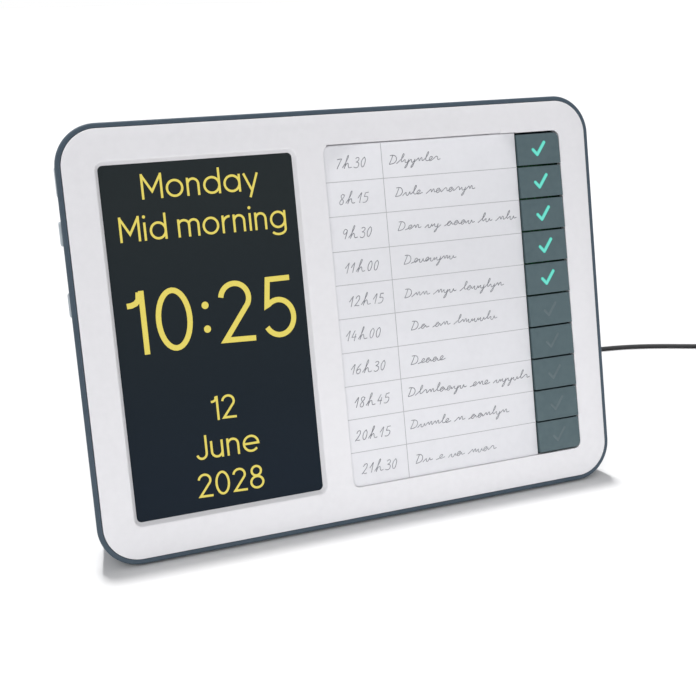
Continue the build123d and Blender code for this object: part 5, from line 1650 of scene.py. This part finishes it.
def make_planner_print():
    left, right = FIELD_LEFT + 0.3, CARD_RIGHT - 0.2
    across = (right - left, RULE_W)
    rules = [block(((left + right) / 2, v), across, -PRINT_RISE, PRINT_RISE) for v in RULE_V]
    upright = (RULE_W, FIELD_SIZE[1] - 0.6)
    rules.append(block((RULE_U, FIELD_MIDDLE[1]), upright, -PRINT_RISE, PRINT_RISE * 1.2))
    seat(lifted(join(*rules), CARD_FACE), "planner_rules", "print_grey", body="planner_card")


def make_handwriting():
    hand = random.Random(HAND_SEED)
    strokes = []
    rows = [FIELD_TOP, *RULE_V, FIELD_BOTTOM]
    for row, (top, foot) in enumerate(zip(rows, rows[1:])):
        base = (top + foot) / 2 - BASE_DROP
        strokes += written_time(TIMES[row], TIMES_U[row], base - TIME_DROP, hand)
        strokes += written_words(WORDS[row], WORDS_U[row], base + hand.uniform(*BASE_SHAKE), hand)
    writing = lifted(drawn_lines(strokes, PEN_W, smooth=True), CARD_FACE + PRINT_RISE / 2)
    seat(writing, "planner_writing", "pen_grey", body="planner_card")


make_planner_print()
make_handwriting()

# ---------------------------------------------------------------- floor, light and background

FLOOR_HALF = 4.0
FLOOR_TONE = (0.72, 0.72, 0.725)
AMBIENT = 0.5
# each sun: name, where it shines from, softness, strength, tone
SUNS = [
    ("overhead_sun", (0.0, 0.295, 1.0), 3.5, 3.0, (1.0, 0.995, 0.99)),
    ("front_sun", (-0.6, -0.6, 0.6), 50, 0.8, (0.99, 1.0, 1.0)),
]
LAMP_PLACE = Vector((0.02, -0.22, 0.03))
LAMP_AIM = Vector((0.0, 0.0, 0.01))
LAMP_SIZE = (0.36, 0.05)
LAMP_POWER = 0.08


def empty_tree(owner):
    """Node tree of a material or a world, with nothing in it."""
    owner.use_nodes = True
    owner.node_tree.nodes.clear()
    return owner.node_tree


def white_rays(tree):
    """1 for the rays that see the plain white background: camera, mirror and glass rays."""
    path = add(tree, "LightPath")
    some = calc(tree, "MAXIMUM", (path, "Is Camera Ray"), (path, "Is Glossy Ray"))
    return calc(tree, "MAXIMUM", some, (path, "Is Transmission Ray"))


def lay_floor():
    floor = primitive(bpy.ops.mesh.primitive_plane_add, size=2 * FLOOR_HALF)
    floor.name = "floor"
    material = bpy.data.materials.new("floor_white")
    tree = empty_tree(material)
    matt = add(tree, "BsdfDiffuse", {"Color": (*FLOOR_TONE, 1)})
    add(tree, "OutputMaterial", {"Surface": (matt, "BSDF")})
    floor.data.materials.append(material)


def set_up_world():
    world = bpy.data.worlds.new("studio")
    bpy.context.scene.world = world
    tree = empty_tree(world)
    soft = add(tree, "Background", {"Color": (0.98, 0.985, 1.0, 1), "Strength": AMBIENT}), "Background"
    white = add(tree, "Background", {"Color": (1, 1, 1, 1), "Strength": 1.0}), "Background"
    seen = add(tree, "MixShader", {0: white_rays(tree), 1: soft, 2: white})
    add(tree, "OutputWorld", {"Surface": (seen, "Shader")})


def hang_light(name, kind, along, **values):
    light = new_object(name, adjust(bpy.data.lights.new(name, kind), **values))
    aim(light, along)
    return light


def hang_lights():
    """The two suns, and a soft lamp low in front that lifts the foot of the face."""
    for name, source, softness, strength, tone in SUNS:
        hang_light(name, "SUN", -Vector(source), angle=radians(softness), energy=strength, color=tone)
    lamp = hang_light("low_lamp", "AREA", LAMP_AIM - LAMP_PLACE, shape="RECTANGLE", energy=LAMP_POWER)
    lamp.data.size, lamp.data.size_y = LAMP_SIZE
    lamp.location = LAMP_PLACE


lay_floor()
set_up_world()
hang_lights()
bpy.context.scene.view_settings.view_transform = "Standard"
